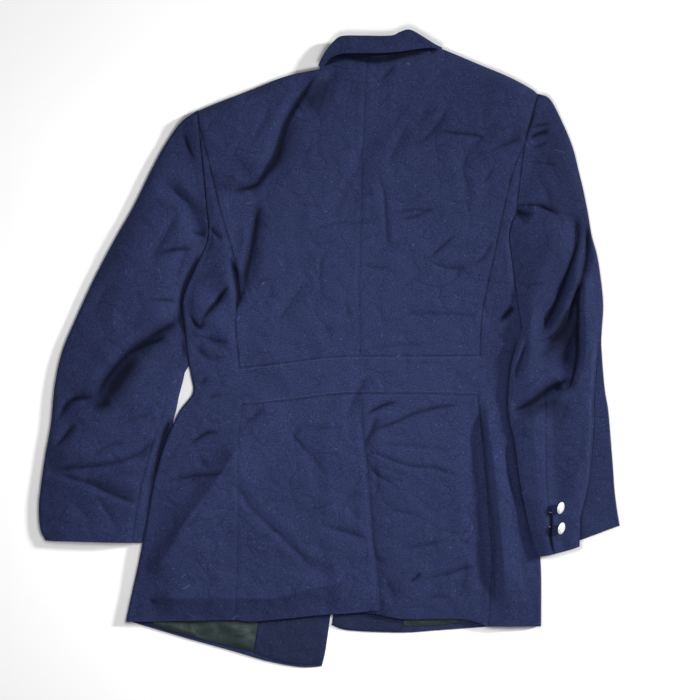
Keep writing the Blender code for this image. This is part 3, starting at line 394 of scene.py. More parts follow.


# Finer creases: path, height, spread left and right, painted shade; rows of height 0 are painted shade
# alone
BODY_CREASES = creases([
    ([(-25, 352), (-48, 319), (-60, 294), (-70, 259), (-82, 239), (-93, 222), (-106, 215), (-133, 209)],
      -5.0, 13, 8, 0.5),
    ([(-17, 366), (-35, 339), (-51, 313), (-63, 286), (-73, 257), (-85, 237), (-98, 222)], -0.5, 2, 2,
      0.66),
    ([(-32, 356), (-55, 323), (-66, 297), (-77, 263), (-89, 243), (-100, 229), (-112, 223)], 1.6, 8, 24,
      0),
    ([(12, 376), (4, 364), (-4, 347), (-12, 325), (-21, 298)], -3.0, 6, 8, 0.15),
    ([(-5, 363), (-21, 335), (-35, 311)], 0, 12, 12, 0.27),
    ([(-41, 315), (-56, 278), (-70, 247), (-88, 225)], 0, 9, 9, 0.26),
    ([(-160, 223), (-138, 217), (-106, 219)], 0, 8, 8, 0.14),
    ([(-165, 238), (-144, 230), (-120, 230)], 0, 10, 10, 0.07),
    ([(-96, 202), (-98, 169), (-104, 138), (-112, 108), (-120, 76)], 0, 6, 6, 0.24),
    # Painted shadow under the collar fall's edge
    ([(1, 384), (20, 388), (37, 386), (56, 384), (77, 386), (100, 392), (120, 396), (138, 399)], -1.5, 5.5,
      5.5, 1),
    ([(-48, 259), (-28, 265), (-17, 278)], -0.9, 3, 3, 0.12),
    ([(-80, 331), (-85, 307), (-96, 287), (-105, 262)], -1.0, 4, 4, 0.12),
    ([(-148, 235), (-130, 225), (-112, 211)], -1.5, 13, 12, 0.04),
    ([(-90, 200), (-98, 169), (-104, 129), (-110, 101), (-120, 64), (-124, 53)], -4.0, 8, 7, 0.26),
    ([(-112, 169), (-116, 132), (-122, 102)], 1.8, 6, 6, 0),
    ([(-132, 125), (-125, 94), (-122, 68), (-125, 49)], -4.5, 4, 5, 0.9),
    ([(90, 379), (76, 366), (63, 352)], -1.6, 4, 4, 0.22),
    ([(82, 344), (70, 330), (60, 315)], -1.4, 7, 7, 0.05),
    ([(65, 285), (43, 262), (37, 237), (23, 209), (12, 186), (3, 169)], -3.0, 8, 6, 0.1),
    ([(157, 327), (148, 305), (136, 289), (122, 277), (108, 265)], -1.5, 4, 4, 0.22),
    ([(137, 291), (168, 286), (196, 283), (207, 274)], -1.0, 3, 3, 0.35),
    ([(110, 310), (97, 287), (88, 271), (80, 254), (72, 239)], -1.8, 7, 5, 0.05),
    ([(110, 310), (126, 315), (144, 317)], -0.8, 3, 3, 0.12),
    ([(227, 302), (207, 285), (196, 277), (185, 262), (178, 249), (177, 234), (182, 214), (180, 174)],
      -1.8, 6, 6, 0.06),
    ([(257, 281), (237, 273), (210, 261)], -2.0, 4, 7, 0.24),
    ([(262, 294), (243, 281), (223, 270)], 0, 9, 9, 0.1),
    ([(218, 239), (202, 219)], -1.3, 3, 3, 0.22),
    ([(222, 225), (207, 202), (200, 180)], -1.8, 7, 7, 0.05),
    ([(169, 154), (150, 137), (129, 118)], -1.3, 3.5, 3, 0.35),
    ([(157, 108), (181, 110), (205, 120)], 0, 6, 6, 0.09),
    ([(146, 326), (117, 294), (82, 254)], 0, 8, 8, 0.06),
    ([(128, 126), (134, 118), (153, 109), (185, 106)], -1.2, 3, 3, 0.22),
    ([(217, 144), (205, 124), (192, 110)], -1.6, 3, 3, 0.26),
    ([(144, 130), (168, 136), (200, 140)], -1.8, 11, 11, 0.06),
    ([(-31, 157), (-3, 164), (9, 168), (37, 168), (55, 172), (65, 180)], -1.7, 3, 4.5, 0.12),
    ([(77, 180), (110, 185), (145, 185)], -1.3, 3, 3, 0.22),
    ([(90, 173), (113, 176), (138, 188)], -1.0, 3, 3, 0.26),
    ([(-48, 194), (-11, 189)], -0.9, 3, 3, 0.12),
    ([(63, 231), (72, 209), (74, 180), (77, 144), (80, 129)], -1.4, 3, 3, 0.22),
    ([(53, 227), (60, 196)], 1.4, 8, 7, 0),
    ([(37, 114), (60, 109), (80, 108)], -1.0, 3, 3, 0.18),
    ([(-3, 134), (-13, 109), (-12, 78), (-8, 61)], -0.9, 3, 3, 0.13),
    ([(-80, 89), (-77, 64)], -0.7, 3, 3, 0.12),
    ([(-23, 94), (-40, 78), (-63, 49), (-68, 27)], -1.6, 8, 8, 0.04),
    ([(20, 72), (23, 49), (29, 36)], -0.7, 3, 3, 0.12),
    ([(90, 47), (128, 47), (162, 47), (200, 44)], -0.9, 3, 3, 0.18),
    ([(43, -1), (80, 4), (140, 7)], -0.9, 3, 3, 0.13),
    ([(253, 61), (238, 49), (225, 36)], -3.5, 4, 4, 0.88),
    ([(-133, 86), (-148, 66), (-162, 49), (-170, 36)], -3.0, 4, 4, 0.88),
    ([(-173, 19), (-156, 12), (-130, 7)], -1.6, 4, 4, 0.33),
    ([(-184, 12), (-166, -8), (-157, -13), (-129, -9)], -2.2, 4, 5, 0.2),
    ([(-161, -36), (-170, -45), (-180, -57)], -1.4, 3, 3, 0.22),
    ([(-166, -68), (-144, -59)], -0.9, 3, 3, 0.22),
    ([(-84, -76), (-94, -84), (-109, -96), (-117, -108)], -2.4, 5, 7, 0.2),
    ([(-116, -121), (-137, -153), (-154, -178), (-172, -203), (-194, -233), (-214, -269), (-239, -302)],
      4.4, 24, 12, 0.1),
    ([(-165, -172), (-184, -201), (-207, -238), (-226, -270)], -0.8, 10, 16, 0.03),
    ([(-146, -110), (-166, -113), (-189, -130)], -2.0, 4, 4, 0.44),
    ([(-137, -158), (-146, -165), (-182, -169), (-217, -176)], -1.8, 4, 4, 0.33),
    ([(-166, -146), (-174, -158)], -1.6, 7, 7, 0.1),
    ([(-130, -174), (-118, -192), (-102, -215), (-73, -242), (-44, -270), (-16, -298)], -1.9, 6, 4.5,
      0.12),
    ([(-35, -101), (-47, -116), (-39, -126), (-29, -141)], -1.3, 3.5, 3.5, 0.22),
    ([(-32, -108), (-7, -105), (19, -104)], -0.8, 3, 3, 0.12),
    ([(53, -33), (39, -53), (27, -78), (21, -98)], -2.8, 9, 5, 0.15),
    ([(41, -184), (21, -203), (11, -223)], -1.8, 7, 7, 0.08),
    ([(-13, -229), (4, -238), (27, -245), (53, -254)], -2.2, 4, 5, 0.2),
    ([(20, -221), (40, -217)], -1.8, 12, 12, 0.06),
    ([(-53, -301), (-24, -289), (4, -307)], -1.4, 7, 8, 0.05),
    ([(-242, -335), (-229, -336)], -1.2, 3, 3, 0.33),
    ([(-239, -331), (-206, -330), (-166, -329), (-120, -330), (-80, -330), (-52, -325), (-24, -317),
      (4, -311), (35, -305)], 3.8, 9, 19, 0.07),
    ([(93, -70), (74, -74), (59, -81), (43, -90)], -2.2, 3.5, 3.5, 0.44),
    ([(176, -73), (149, -77), (117, -84), (88, -97), (64, -105), (53, -109)], -1.4, 3, 3, 0.33),
    ([(-45, -121), (-27, -140), (-5, -169)], -1.2, 5, 5, 0.09),
    ([(98, -265), (125, -261), (154, -254)], -1.0, 3, 3, 0.22),
    ([(63, -86), (57, -105), (48, -124), (45, -137)], -2.6, 5, 4, 0.25),
    ([(48, -133), (66, -141), (90, -150), (114, -156), (138, -158), (160, -165), (176, -170)], -1.3, 3, 3,
      0.22),
    ([(59, -126), (106, -128), (165, -136)], -0.7, 3, 3, 0.12),
    ([(48, -148), (61, -166), (90, -182)], -1.0, 3, 3, 0.18),
    ([(56, -148), (63, -174), (59, -207)], -1.6, 5, 5, 0.1),
    ([(72, -211), (106, -219), (130, -225)], -0.8, 3, 3, 0.12),
    ([(56, -254), (64, -281), (77, -283)], -0.9, 3, 3, 0.12),
    ([(66, -310), (80, -318), (88, -344)], -2.0, 8, 6, 0.15),
    ([(104, -311), (114, -305), (122, -297)], -1.8, 3, 3, 0.44),
    ([(128, -305), (160, -298), (184, -290), (202, -291)], -1.5, 3, 4, 0.26),
    ([(184, -273), (178, -307), (170, -334)], -2.2, 7, 7, 0.1),
    ([(196, -81), (194, -121), (196, -161), (200, -201), (203, -254), (206, -307), (205, -339)], -3.0, 8,
      13, 0.1),
    ([(198, -74), (202, -101), (206, -130), (211, -188), (217, -241), (219, -290), (218, -342)], -2.4, 4.5,
      6, 0.2),
    ([(206, -70), (210, -108), (214, -134), (221, -188), (226, -241), (230, -290), (231, -339)], 2.6, 8, 4,
      0),
    ([(233, -116), (237, -154), (245, -188), (253, -211)], -2.2, 8, 8, 0.1),
    ([(250, -281), (253, -321), (258, -360)], 1.6, 9, 9, 0),
    ([(126, -331), (146, -330), (166, -331)], -0.9, 3, 3, 0.18),
    ([(223, 132), (222, 65), (222, 5), (226, -48)], 1.0, 9, 9, 0),
    ([(251, 192), (234, 118), (225, 25), (223, -55)], 0, 13, 13, 0.1),
    ([(180, 352), (223, 326), (255, 278)], 0, 34, 34, 0.04),
    ([(-177, 85), (-162, 98), (-149, 112)], 0, 8, 8, 0.14),
    ([(-174, 124), (-182, 106), (-192, 86), (-196, 69), (-194, 49)], 0, 6, 6, 0.4),
    ([(-160, 164), (-152, 154), (-142, 145)], -2, 3, 3, 0.26),
    ([(-193, 55), (-184, 40), (-173, 29), (-166, 41)], -2.0, 4, 4, 0.66),
    ([(-194, 12), (-180, 0), (-165, -13)], -1.2, 3, 3, 0.18),
    ([(-186, 27), (-173, 21), (-157, 15)], 1.6, 5, 4, 0),
])
# Creases of the left sleeve in the same form, with their painted shade
LEFT_SLEEVE_CREASES = creases([
    ([(-172, 129), (-180, 110), (-190, 89), (-196, 69), (-197, 45), (-194, 16)], -1.5, 5.5, 5.5, 0.8),
    ([(-194, 32), (-193, 5), (-189, -23)], 0, 4, 4, 0.3),
    ([(-205, 33), (-230, 9), (-261, -17), (-285, -47), (-302, -73)], 0, 14, 14, 0.26),
    ([(-253, -12), (-274, -36), (-293, -63), (-310, -89)], 0, 12, 12, 0.26),
    ([(-290, -65), (-301, -74), (-317, -78)], 0, 8, 8, 0.24),
    ([(-202, 52), (-205, 33), (-218, 23)], 0, 8, 8, 0.2),
    ([(-217, 17), (-229, 11), (-242, 7), (-255, 0), (-266, -7)], -1.2, 3, 3, 0.66),
    ([(-186, 157), (-173, 153), (-161, 156)], -2, 3.5, 3.5, 0.33),
    ([(-242, 65), (-222, 65), (-201, 64)], -0.8, 2, 2, 0.35),
    ([(-194, 289), (-188, 269), (-178, 249)], -1.8, 4, 4, 0.57),
    ([(-237, 198), (-218, 192), (-197, 177)], 0, 7, 7, 0.12),
    ([(-223, 223), (-205, 210), (-184, 192), (-164, 174)], -4.0, 6, 11, 0.15),
    ([(-200, 184), (-219, 149), (-243, 109)], -1.8, 5, 5, 0.18),
    ([(-229, 126), (-205, 132), (-181, 133)], -1.5, 4, 4, 0.44),
    ([(-186, 145), (-200, 108), (-210, 76)], -1.6, 7, 7, 0.06),
    ([(-197, 41), (-218, 28), (-239, 15), (-263, -1), (-285, -24), (-301, -47), (-310, -68)], -5.5, 20, 9,
      0.3),
    ([(-210, 49), (-226, 40), (-247, 27), (-270, 12), (-291, -9), (-307, -31)], 1.6, 8, 20, 0),
    ([(-310, -65), (-326, -63), (-340, -66), (-352, -81), (-362, -98)], -2.8, 8, 6, 0.12),
    ([(-338, -97), (-352, -113), (-367, -130)], -1.6, 6, 5, 0.06),
    ([(-376, -161), (-339, -158), (-295, -153), (-255, -140), (-230, -118)], -3.0, 4, 6, 0.26),
    ([(-375, -161), (-323, -177), (-286, -194), (-249, -207)], -2.8, 5, 4, 0.26),
    ([(-330, -168), (-295, -180), (-259, -193), (-245, -201)], 0, 8, 8, 0.16),
    ([(-290, -161), (-263, -164), (-239, -169)], 0, 7, 7, 0.1),
    ([(-359, -137), (-319, -134), (-279, -126)], 2.0, 9, 8, 0),
    ([(-313, -188), (-295, -217), (-278, -247)], -1.1, 4, 4, 0.13),
    ([(-279, 105), (-306, 65), (-322, 31)], -1.4, 9, 9, 0.03),
    ([(-262, 178), (-239, 161), (-226, 145)], -1.2, 8, 8, 0.04),
    ([(-253, -74), (-279, -92), (-299, -101)], -1.3, 7, 7, 0.05),
    ([(-363, -100), (-347, -70), (-315, -64)], -1.6, 4, 4, 0.44),
    ([(-370, -136), (-354, -118), (-336, -98)], -1.8, 4, 4, 0.35),
    ([(-317, -145), (-295, -129), (-269, -124)], -1.2, 4, 4, 0.22),
    ([(-282, -102), (-258, -92), (-234, -86)], -1.0, 4, 4, 0.18),
    ([(-346, -201), (-326, -221), (-317, -238)], -0.9, 5, 5, 0.04),
    ([(-210, -89), (-218, -110), (-226, -142), (-234, -182), (-241, -233)], -2.0, 6, 6, 0.9),
])
# Creases of the right sleeve in the same form, with their painted shade
RIGHT_SLEEVE_CREASES = creases([
    ([(241, 190), (255, 181), (270, 177)], -5.5, 8, 8, 0.4),
    ([(242, 194), (254, 191), (273, 191), (287, 186), (307, 177)], -1.6, 2.5, 2.5, 0.37),
    ([(266, 249), (283, 247), (303, 243)], -0.8, 2, 2, 0.22),
    ([(274, 323), (265, 299), (258, 278), (254, 262)], -1.5, 4, 4, 0.66),
    ([(270, 194), (287, 188), (306, 178)], -2.2, 4, 5, 0.15),
    ([(327, 182), (329, 145), (319, 110), (309, 78), (301, 59), (286, 32), (277, 15)], -6.0, 6, 8, 0.25),
    ([(326, 180), (326, 138), (317, 108), (306, 78), (295, 52), (283, 28)], -0.6, 2.5, 2.5, 0.26),
    ([(334, 97), (327, 68), (315, 47), (299, 20), (273, 8)], -1.2, 3, 3, 0.31),
    ([(322, 36), (309, 17), (286, 5)], 0, 9, 9, 0.2),
    # Broad bands of painted shade that darken the sleeve
    ([(297, 161), (306, 78), (297, -1), (301, -41)], 0, 30, 30, 0.07),
    ([(306, -94), (309, -148), (313, -214)], 0, 26, 26, 0.05),
    ([(344, 174), (343, 145), (340, 116), (332, 85), (322, 55), (313, 33), (299, 17), (287, 1)], -5.0, 5,
      6, 0.4),
    ([(329, 92), (329, 5), (327, -17), (319, -47), (306, -57)], -4.5, 3.5, 16, 0.5),
    ([(318, 59), (315, 12), (314, -36)], 0, 13, 13, 0.3),
    ([(338, 105), (339, 12), (335, -35)], 2.0, 7, 5, 0),
    ([(318, -52), (311, -81), (298, -113)], -2.4, 10, 12, 0.05),
    ([(310, -60), (303, -84), (293, -108)], 0, 14, 14, 0.1),
    ([(292, -205), (293, -234), (292, -254), (298, -275)], -1.6, 1.6, 1.6, 0.79),
    ([(242, -86), (273, -82), (301, -74), (314, -63)], 0, 10, 10, 0.16),
    ([(273, 198), (297, 125), (306, 39)], 0, 26, 26, 0.04),
    ([(321, -39), (302, -47), (286, -56), (269, -69), (255, -77), (237, -84)], -6.0, 8, 5, 0.6),
    ([(325, -39), (303, -52), (282, -64), (258, -76)], 0, 9, 9, 0.15),
    ([(311, -28), (290, -36), (271, -47), (255, -59)], 2.5, 5, 8, 0),
    ([(262, 17), (255, -9), (249, -28), (246, -49)], -3.2, 4, 5, 0.25),
    ([(254, 25), (249, -4), (242, -31)], 1.8, 4, 4, 0),
    ([(265, 279), (278, 286), (293, 290)], -1.8, 4, 4, 0.57),
    ([(267, 294), (281, 298), (294, 299)], -1.2, 3, 4, 0.31),
    ([(266, 267), (279, 270), (291, 277)], -1.2, 4, 3, 0.26),
    ([(275, 227), (287, 209), (294, 188)], -1.4, 5, 5, 0.1),
    ([(279, 265), (295, 243), (301, 217)], -1.6, 8, 8, 0.04),
    ([(293, 165), (289, 132), (279, 98)], 0.9, 14, 8, 0),
    ([(279, 331), (302, 271), (317, 211), (327, 158)], 0, 27, 27, 0.12),
    ([(297, -56), (309, -49)], -1.5, 4, 4, 0.22),
    ([(266, -78), (286, -73), (306, -68)], -2.0, 5, 8, 0.12),
    ([(273, 65), (267, 39), (263, 5)], 1.4, 5, 6, 0),
    ([(301, 5), (286, -4), (273, -15)], -2.2, 5, 5, 0.15),
    ([(343, 25), (346, -41), (346, -108), (340, -174)], 1.6, 8, 8, 0),
])


class Finish(Enum):
    """Materials of the jacket, by the record's slot."""

    WOOL = "navy_wool"
    FACING = "navy_facing"
    LINING = "green_lining"
    BUTTON = "silver_button"


class NodeGraph:
    """Short hand for a node tree: makes nodes, sets their inputs and links them."""

    def __init__(self, tree: bpy.types.NodeTree) -> None:
        """Keeps the tree."""
        self.tree = tree

    def feed(self, node: bpy.types.Node, values: dict) -> None:
        """Sets a node's inputs, by name or number, to values or to the outputs that feed them."""
        for key, value in values.items():
            if isinstance(value, Socket):
                self.tree.links.new(value, node.inputs[key])
            else:
                node.inputs[key].default_value = value

    def add(self, kind: str, values: dict | None = None, **settings: object) -> bpy.types.Node:
        """Adds a node.

        Args:
            kind: Blender's name of the node type.
            values: Its inputs by name or number: a value, or the output that feeds it.
            **settings: Properties of the node.

        Returns:
            The node.
        """
        node = self.tree.nodes.new(kind)
        for name, value in settings.items():
            setattr(node, name, value)
        self.feed(node, values or {})
        return node

    def maths(self, operation: str, *values: Feed) -> Socket:
        """Output of a Math node over numbers or outputs."""
        return self.add("ShaderNodeMath", dict(enumerate(values)), operation=operation).outputs[0]

    def vectors(self, operation: str, values: dict) -> Socket:
        """Output of a Vector Math node."""
        return self.add("ShaderNodeVectorMath", values, operation=operation).outputs[0]

    def noise(self, places: Socket, scale: float, detail: float = 2.0) -> Socket:
        """Value of a noise texture at the given places."""
        values = {"Vector": places, "Scale": scale, "Detail": detail}
        return self.add("ShaderNodeTexNoise", values).outputs[0]

    def blend(self, share: Feed, first: Feed, second: Feed) -> Socket:
        """Colour output of a Mix node."""
        return self.add("ShaderNodeMix", {0: share, 6: first, 7: second}, data_type="RGBA").outputs[2]

    def bump(self, height: Feed, strength: float, distance: float,
             below: Socket | None = None) -> Socket:
        """Normal of a Bump node, on top of another one's normal where that is given."""
        values = {"Height": height, "Strength": strength, "Distance": distance}
        if below is not None:
            values["Normal"] = below
        return self.add("ShaderNodeBump", values).outputs[0]


class MaterialGraph(NodeGraph):
    """Node graph of a new material, with its shader and its texture places."""

    def __init__(self, name: str) -> None:
        """Makes the material."""
        self.material = bpy.data.materials.new(name)
        self.material.use_nodes = True
        super().__init__(self.material.node_tree)
        self.shader = self.tree.nodes["Principled BSDF"]
        self.places = self.add("ShaderNodeTexCoord").outputs

    def finished(self, values: dict) -> bpy.types.Material:
        """The material, with the shader's inputs set."""
        self.feed(self.shader, values)
        return self.material


class GroupGraph(NodeGraph):
    """Node graph of a new node group that outputs numbers."""

    def __init__(self, name: str, inputs: dict, outputs: list) -> None:
        """Makes the group.

        Args:
            name: Its name.
            inputs: Kind of each input, Vector or Float, by its label.
            outputs: Labels of its outputs.
        """
        tree = bpy.data.node_groups.new(name, "ShaderNodeTree")
        for label, kind in inputs.items():
            tree.interface.new_socket(label, in_out="INPUT", socket_type=f"NodeSocket{kind}")
        for label in outputs:
            tree.interface.new_socket(label, in_out="OUTPUT", socket_type="NodeSocketFloat")
        super().__init__(tree)
        self.given = self.add("NodeGroupInput").outputs

    def finished(self, values: dict) -> bpy.types.NodeTree:
        """The group, with its outputs set."""
        self.add("NodeGroupOutput", values)
        return self.tree


@cache
def twill_group() -> bpy.types.NodeTree:
    """Node group of a fine twill: height of the threads and a tone mask, from places on the cloth."""
    graph = GroupGraph("twill_weave", {"Places": "Vector", "Pitch": "Float"}, ["Height", "Tone"])
    places, pitch = graph.given["Places"], graph.given["Pitch"]
    split = graph.add("ShaderNodeSeparateXYZ", {0: places}).outputs
    across, along = (graph.maths("DIVIDE", split[axis], pitch) for axis in "XY")
    wander = graph.maths("MULTIPLY", graph.noise(places, 900.0, 1.0), 1.4)
    rib = graph.maths("ADD", graph.maths("ADD", across, along), wander)
    ribs = graph.maths("SINE", graph.maths("MULTIPLY", rib, 2 * math.pi))
    steep, flat = graph.maths("MULTIPLY", along, 2.1), graph.maths("MULTIPLY", across, 1.3)
    cross = graph.maths("SUBTRACT", steep, flat)
    threads = graph.maths("SINE", graph.maths("MULTIPLY", cross, 2 * math.pi))
    height = graph.maths("MULTIPLY_ADD", ribs, 0.32, graph.maths("MULTIPLY_ADD", threads, 0.16, 0.5))
    fibres = graph.noise(places, 2400.0, 2.0)
    tone = graph.maths("MULTIPLY_ADD", fibres, 0.55, graph.maths("MULTIPLY", height, 0.45))
    return graph.finished({"Height": height, "Tone": tone})


@cache
def patches_group() -> bpy.types.NodeTree:
    """Node group of soft patches of colour: dye, brushing and handling, from places in the object."""
    graph = GroupGraph("soft_patches", {"Places": "Vector"}, ["Mask"])
    broad, small, speckle = (graph.noise(graph.given["Places"], scale, detail)
                             for scale, detail in ((9.0, 3.0), (70.0, 3.0), (520.0, 2.0)))
    clear = graph.maths("MULTIPLY_ADD", graph.maths("SUBTRACT", speckle, 0.5), 6.5, 0.5)
    fine = graph.maths("MULTIPLY_ADD", small, 0.2, graph.maths("MULTIPLY", clear, 0.5))
    return graph.finished({"Mask": graph.maths("MULTIPLY_ADD", broad, 0.3, fine)})


@cache
def wrinkles_group() -> bpy.types.NodeTree:
    """Node group of sharp wrinkles: their lines' painted shade, facets and lint, from places in the object.
    """
    graph = GroupGraph("sharp_wrinkles", {"Places": "Vector"}, ["Wrinkle_shade", "Lint", "Facets"])
    places = graph.given["Places"]
    bend = graph.add("ShaderNodeTexNoise", {"Vector": places, "Scale": 24.0, "Detail": 1.0},
                     noise_dimensions="2D").outputs["Color"]
    shift = graph.vectors("SUBTRACT", {0: bend, 1: (0.5, 0.5, 0.5)})
    bent = graph.vectors("ADD", {0: places, 1: graph.vectors("SCALE", {0: shift, "Scale": 0.035})})
    lines, facets = [], []
    for scale, width, seed in ((20.0, 0.030, 0.0), (34.0, 0.040, 3.7)):
        moved = graph.vectors("ADD", {0: bent, 1: (seed, seed * 0.7, 0.0)})
        cells = graph.add("ShaderNodeTexVoronoi", {"Vector": moved, "Scale": scale},
                          voronoi_dimensions="2D", feature="DISTANCE_TO_EDGE").outputs["Distance"]
        patch = graph.add("ShaderNodeTexNoise", {"Vector": moved, "Scale": scale * 0.8, "Detail": 1.0},
                          noise_dimensions="2D").outputs[0]
        patch = {"Value": patch, "From Min": 0.45, "From Max": 0.65}
        patch = graph.add("ShaderNodeMapRange", patch).outputs[0]
        line = graph.maths("SUBTRACT", 1.0, graph.maths("DIVIDE", cells, width))
        lines.append(graph.maths("MULTIPLY", graph.maths("MAXIMUM", line, 0.0), patch))
        facets.append(graph.maths("MULTIPLY", graph.maths("MULTIPLY", cells, patch), 1000.0 / scale))
    fibres = graph.add("ShaderNodeTexVoronoi", {"Vector": bent, "Scale": 55.0},
                       voronoi_dimensions="2D").outputs["Distance"]
    return graph.finished({
        "Wrinkle_shade": graph.maths("MAXIMUM", *lines), "Facets": graph.maths("ADD", *facets),
        "Lint": graph.maths("LESS_THAN", fibres, 0.038)})


@dataclass(frozen=True)
class ClothFinish:
    """A woven finish.

    Attributes:
        slot: Name of the material.
        dark: Colour of the deepest threads, linear.
        light: Colour of the lightest threads, linear.
        pitch: Distance between two ribs of the weave, in metres.
        relief: Height of the weave, in metres.
        roughness: Roughness of the threads.
        sheen: Weight of the fibres' sheen.
        sheen_tint: Colour of the sheen.
        specular: Strength of the threads' shine.
        wrinkles: Strength of the sharp wrinkles: the painted shade along their lines and their bump.
        lint: Strength of the lint.
    """

    slot: str
    dark: tuple
    light: tuple
    pitch: float
    relief: float
    roughness: float
    sheen: float
    sheen_tint: tuple
    specular: float = 0.35
    wrinkles: float = 0.3
    lint: float = 0.3

    @cache
    def material(self) -> bpy.types.Material:
        """The finish's material, made once."""
        graph = MaterialGraph(f"{self.slot}_woven")
        places = graph.places["Object"]
        weave = graph.add("ShaderNodeGroup", {"Places": graph.places["UV"], "Pitch": self.pitch},
                          node_tree=twill_group()).outputs
        mask = graph.add("ShaderNodeGroup", {"Places": places}, node_tree=patches_group()).outputs["Mask"]
        sharp = graph.add("ShaderNodeGroup", {"Places": places}, node_tree=wrinkles_group()).outputs
        painted_shade = graph.add("ShaderNodeAttribute", attribute_name="painted_shade").outputs["Fac"]
        # Painted shade: the wrinkle lines and the painted shade attribute darken the colour towards this
        # shadow colour
        shadow = (*(0.25 * c for c in self.dark), 1.0)
        pale = (*(3.2 * c for c in self.light), 1.0)
        tone = graph.maths("MULTIPLY_ADD", weave["Tone"], 0.5, graph.maths("MULTIPLY", mask, 0.5))
        colour = graph.blend(tone, (*self.dark, 1.0), (*self.light, 1.0))
        colour = graph.blend(graph.maths("MULTIPLY", sharp["Lint"], self.lint), colour, pale)
        colour = graph.blend(graph.maths("MULTIPLY", sharp["Wrinkle_shade"], self.wrinkles), colour, shadow)
        bump = graph.bump(weave["Height"], 0.8, self.relief)
        bump = graph.bump(graph.noise(places, 420.0, 3.0), 0.4, 0.0005, bump)
        return graph.finished({
            "Base Color": graph.blend(painted_shade, colour, shadow),
            "Roughness": graph.maths("MULTIPLY_ADD", weave["Height"], -0.08, self.roughness + 0.04),
            "Normal": graph.bump(sharp["Facets"], 1.0, 0.00022 * self.wrinkles, bump),
            "Sheen Weight": self.sheen, "Sheen Roughness": 0.45, "Sheen Tint": (*self.sheen_tint, 1.0),
            "Specular IOR Level": self.specular})


@dataclass(frozen=True)
class MetalFinish:
    """Polished button metal with fine scratches and a soft tarnish.

    Attributes:
        slot: Name of the material.
        colour: Colour of the clean metal, linear.
        tarnish: Colour of its duller clouds, linear.
    """

    slot: str
    colour: tuple
    tarnish: tuple

    @cache
    def material(self) -> bpy.types.Material:
        """The finish's material, made once."""
        graph = MaterialGraph(f"{self.slot}_polished")
        places = graph.places["Object"]
        cloud = graph.noise(places, 260.0, 3.0)
        share = graph.maths("POWER", cloud, 2.0)
        return graph.finished({
            "Base Color": graph.blend(share, (*self.colour, 1.0), (*self.tarnish, 1.0)),
            "Roughness": graph.maths("MULTIPLY_ADD", graph.noise(places, 2600.0, 2.0), 0.18, 0.24),
            "Normal": graph.bump(cloud, 0.2, 0.0001), "Metallic": 0.45})


@dataclass(frozen=True)
class ThreadFinish:
    """Sewing thread, twisted along its length.

    Attributes:
        slot: Slot of the record that it belongs to.
        colour: Colour of its dark side, linear.
        pale: Colour of its light side, linear.
    """

    slot: str
    colour: tuple
    pale: tuple

    @cache
    def material(self) -> bpy.types.Material:
        """The finish's material, made once."""
        graph = MaterialGraph(f"thread_{self.slot}_{round(self.colour[0] * 1000)}")
        twist = graph.noise(graph.places["Object"], 3500.0, 1.0)
        return graph.finished({
            "Base Color": graph.blend(twist, (*self.colour, 1.0), (*self.pale, 1.0)),
            "Roughness": graph.maths("MULTIPLY_ADD", twist, 0.2, 0.5), "Sheen Weight": 0.2})


FINISHES = {
    Finish.WOOL: ClothFinish("navy_wool", (0.0082, 0.0118, 0.0390), (0.0282, 0.0389, 0.1060),
                             0.0011, 0.00018, 0.9, 0.03, (0.45, 0.55, 0.9), 0.08),
    Finish.FACING: ClothFinish("navy_facing", (0.0068, 0.0094, 0.0285), (0.0218, 0.0303, 0.0750),
                               0.0011, 0.00018, 0.9, 0.03, (0.45, 0.55, 0.9), 0.08),
    Finish.LINING: ClothFinish("green_lining", (0.010, 0.019, 0.019), (0.021, 0.036, 0.035),
                               0.0006, 0.00006, 0.55, 0.0, (1.0, 1.0, 1.0), 0.25),
    Finish.BUTTON: MetalFinish("silver_button", (0.95, 0.95, 0.94), (0.80, 0.80, 0.80)),
}
NAVY_THREAD = ThreadFinish("navy_wool", (0.012, 0.017, 0.050), (0.028, 0.038, 0.100))
PALE_THREAD = ThreadFinish("green_lining", (0.30, 0.32, 0.38), (0.52, 0.54, 0.60))


def even(count: int) -> np.ndarray:
    """Shares from 0 to 1 in equal steps."""
    return np.linspace(0, 1, count + 1)


def half_turn(count: int) -> np.ndarray:
    """Angles inside a half turn, in equal steps."""
    return np.linspace(0, math.pi, count + 2)[1:-1]


def joined(*lines: np.ndarray) -> np.ndarray:
    """One run of points from several that share their ends."""
    return np.vstack([lines[0]] + [line[1:] for line in lines[1:]])


def places_on(line: np.ndarray, shares: np.ndarray) -> np.ndarray:
    """Plan points on a dense line, at shares of its length."""
    length = length_so_far(line)
    return np.stack([np.interp(shares * length[-1], length, line[:, k]) for k in range(2)], axis=1)


def sample(points: list, shares: np.ndarray) -> np.ndarray:
    """Plan points on a smooth curve, at shares of its length."""
    return places_on(smooth_curve(points)[0], shares)


def run_along(curves: list, shares: np.ndarray) -> np.ndarray:
    """Plan points at shares of the length of several curves that follow each other."""
    return places_on(joined(*[smooth_curve(curve)[0] for curve in curves]), shares)


def across_at(points: list, heights: np.ndarray) -> np.ndarray:
    """Where a curve that runs down the jacket lies across it, at the given plan heights."""
    line = smooth_curve(points)[0][::-1]
    return np.interp(heights, line[:, 1], line[:, 0])


def lifted(plan: np.ndarray, height: np.ndarray) -> np.ndarray:
    """Places in space from plan places and their heights."""
    return np.concatenate([plan, height[..., None]], axis=-1)


def length_of(curves: list) -> float:
    """Length of several curves that follow each other."""
    return sum(smooth_curve(curve)[1][-1] for curve in curves)


def crowded(length: float, cell: float) -> np.ndarray:
    """Shares of a length in steps of about one cell, with finer steps at both ends."""
    ends = np.array(EDGE_STEPS) / length
    inner = np.linspace(ends[-1], 1 - ends[-1], max(3, round((length - 2 * EDGE_STEPS[-1]) / cell)))
    return np.concatenate([ends[:-1], inner, 1 - ends[:-1][::-1]])


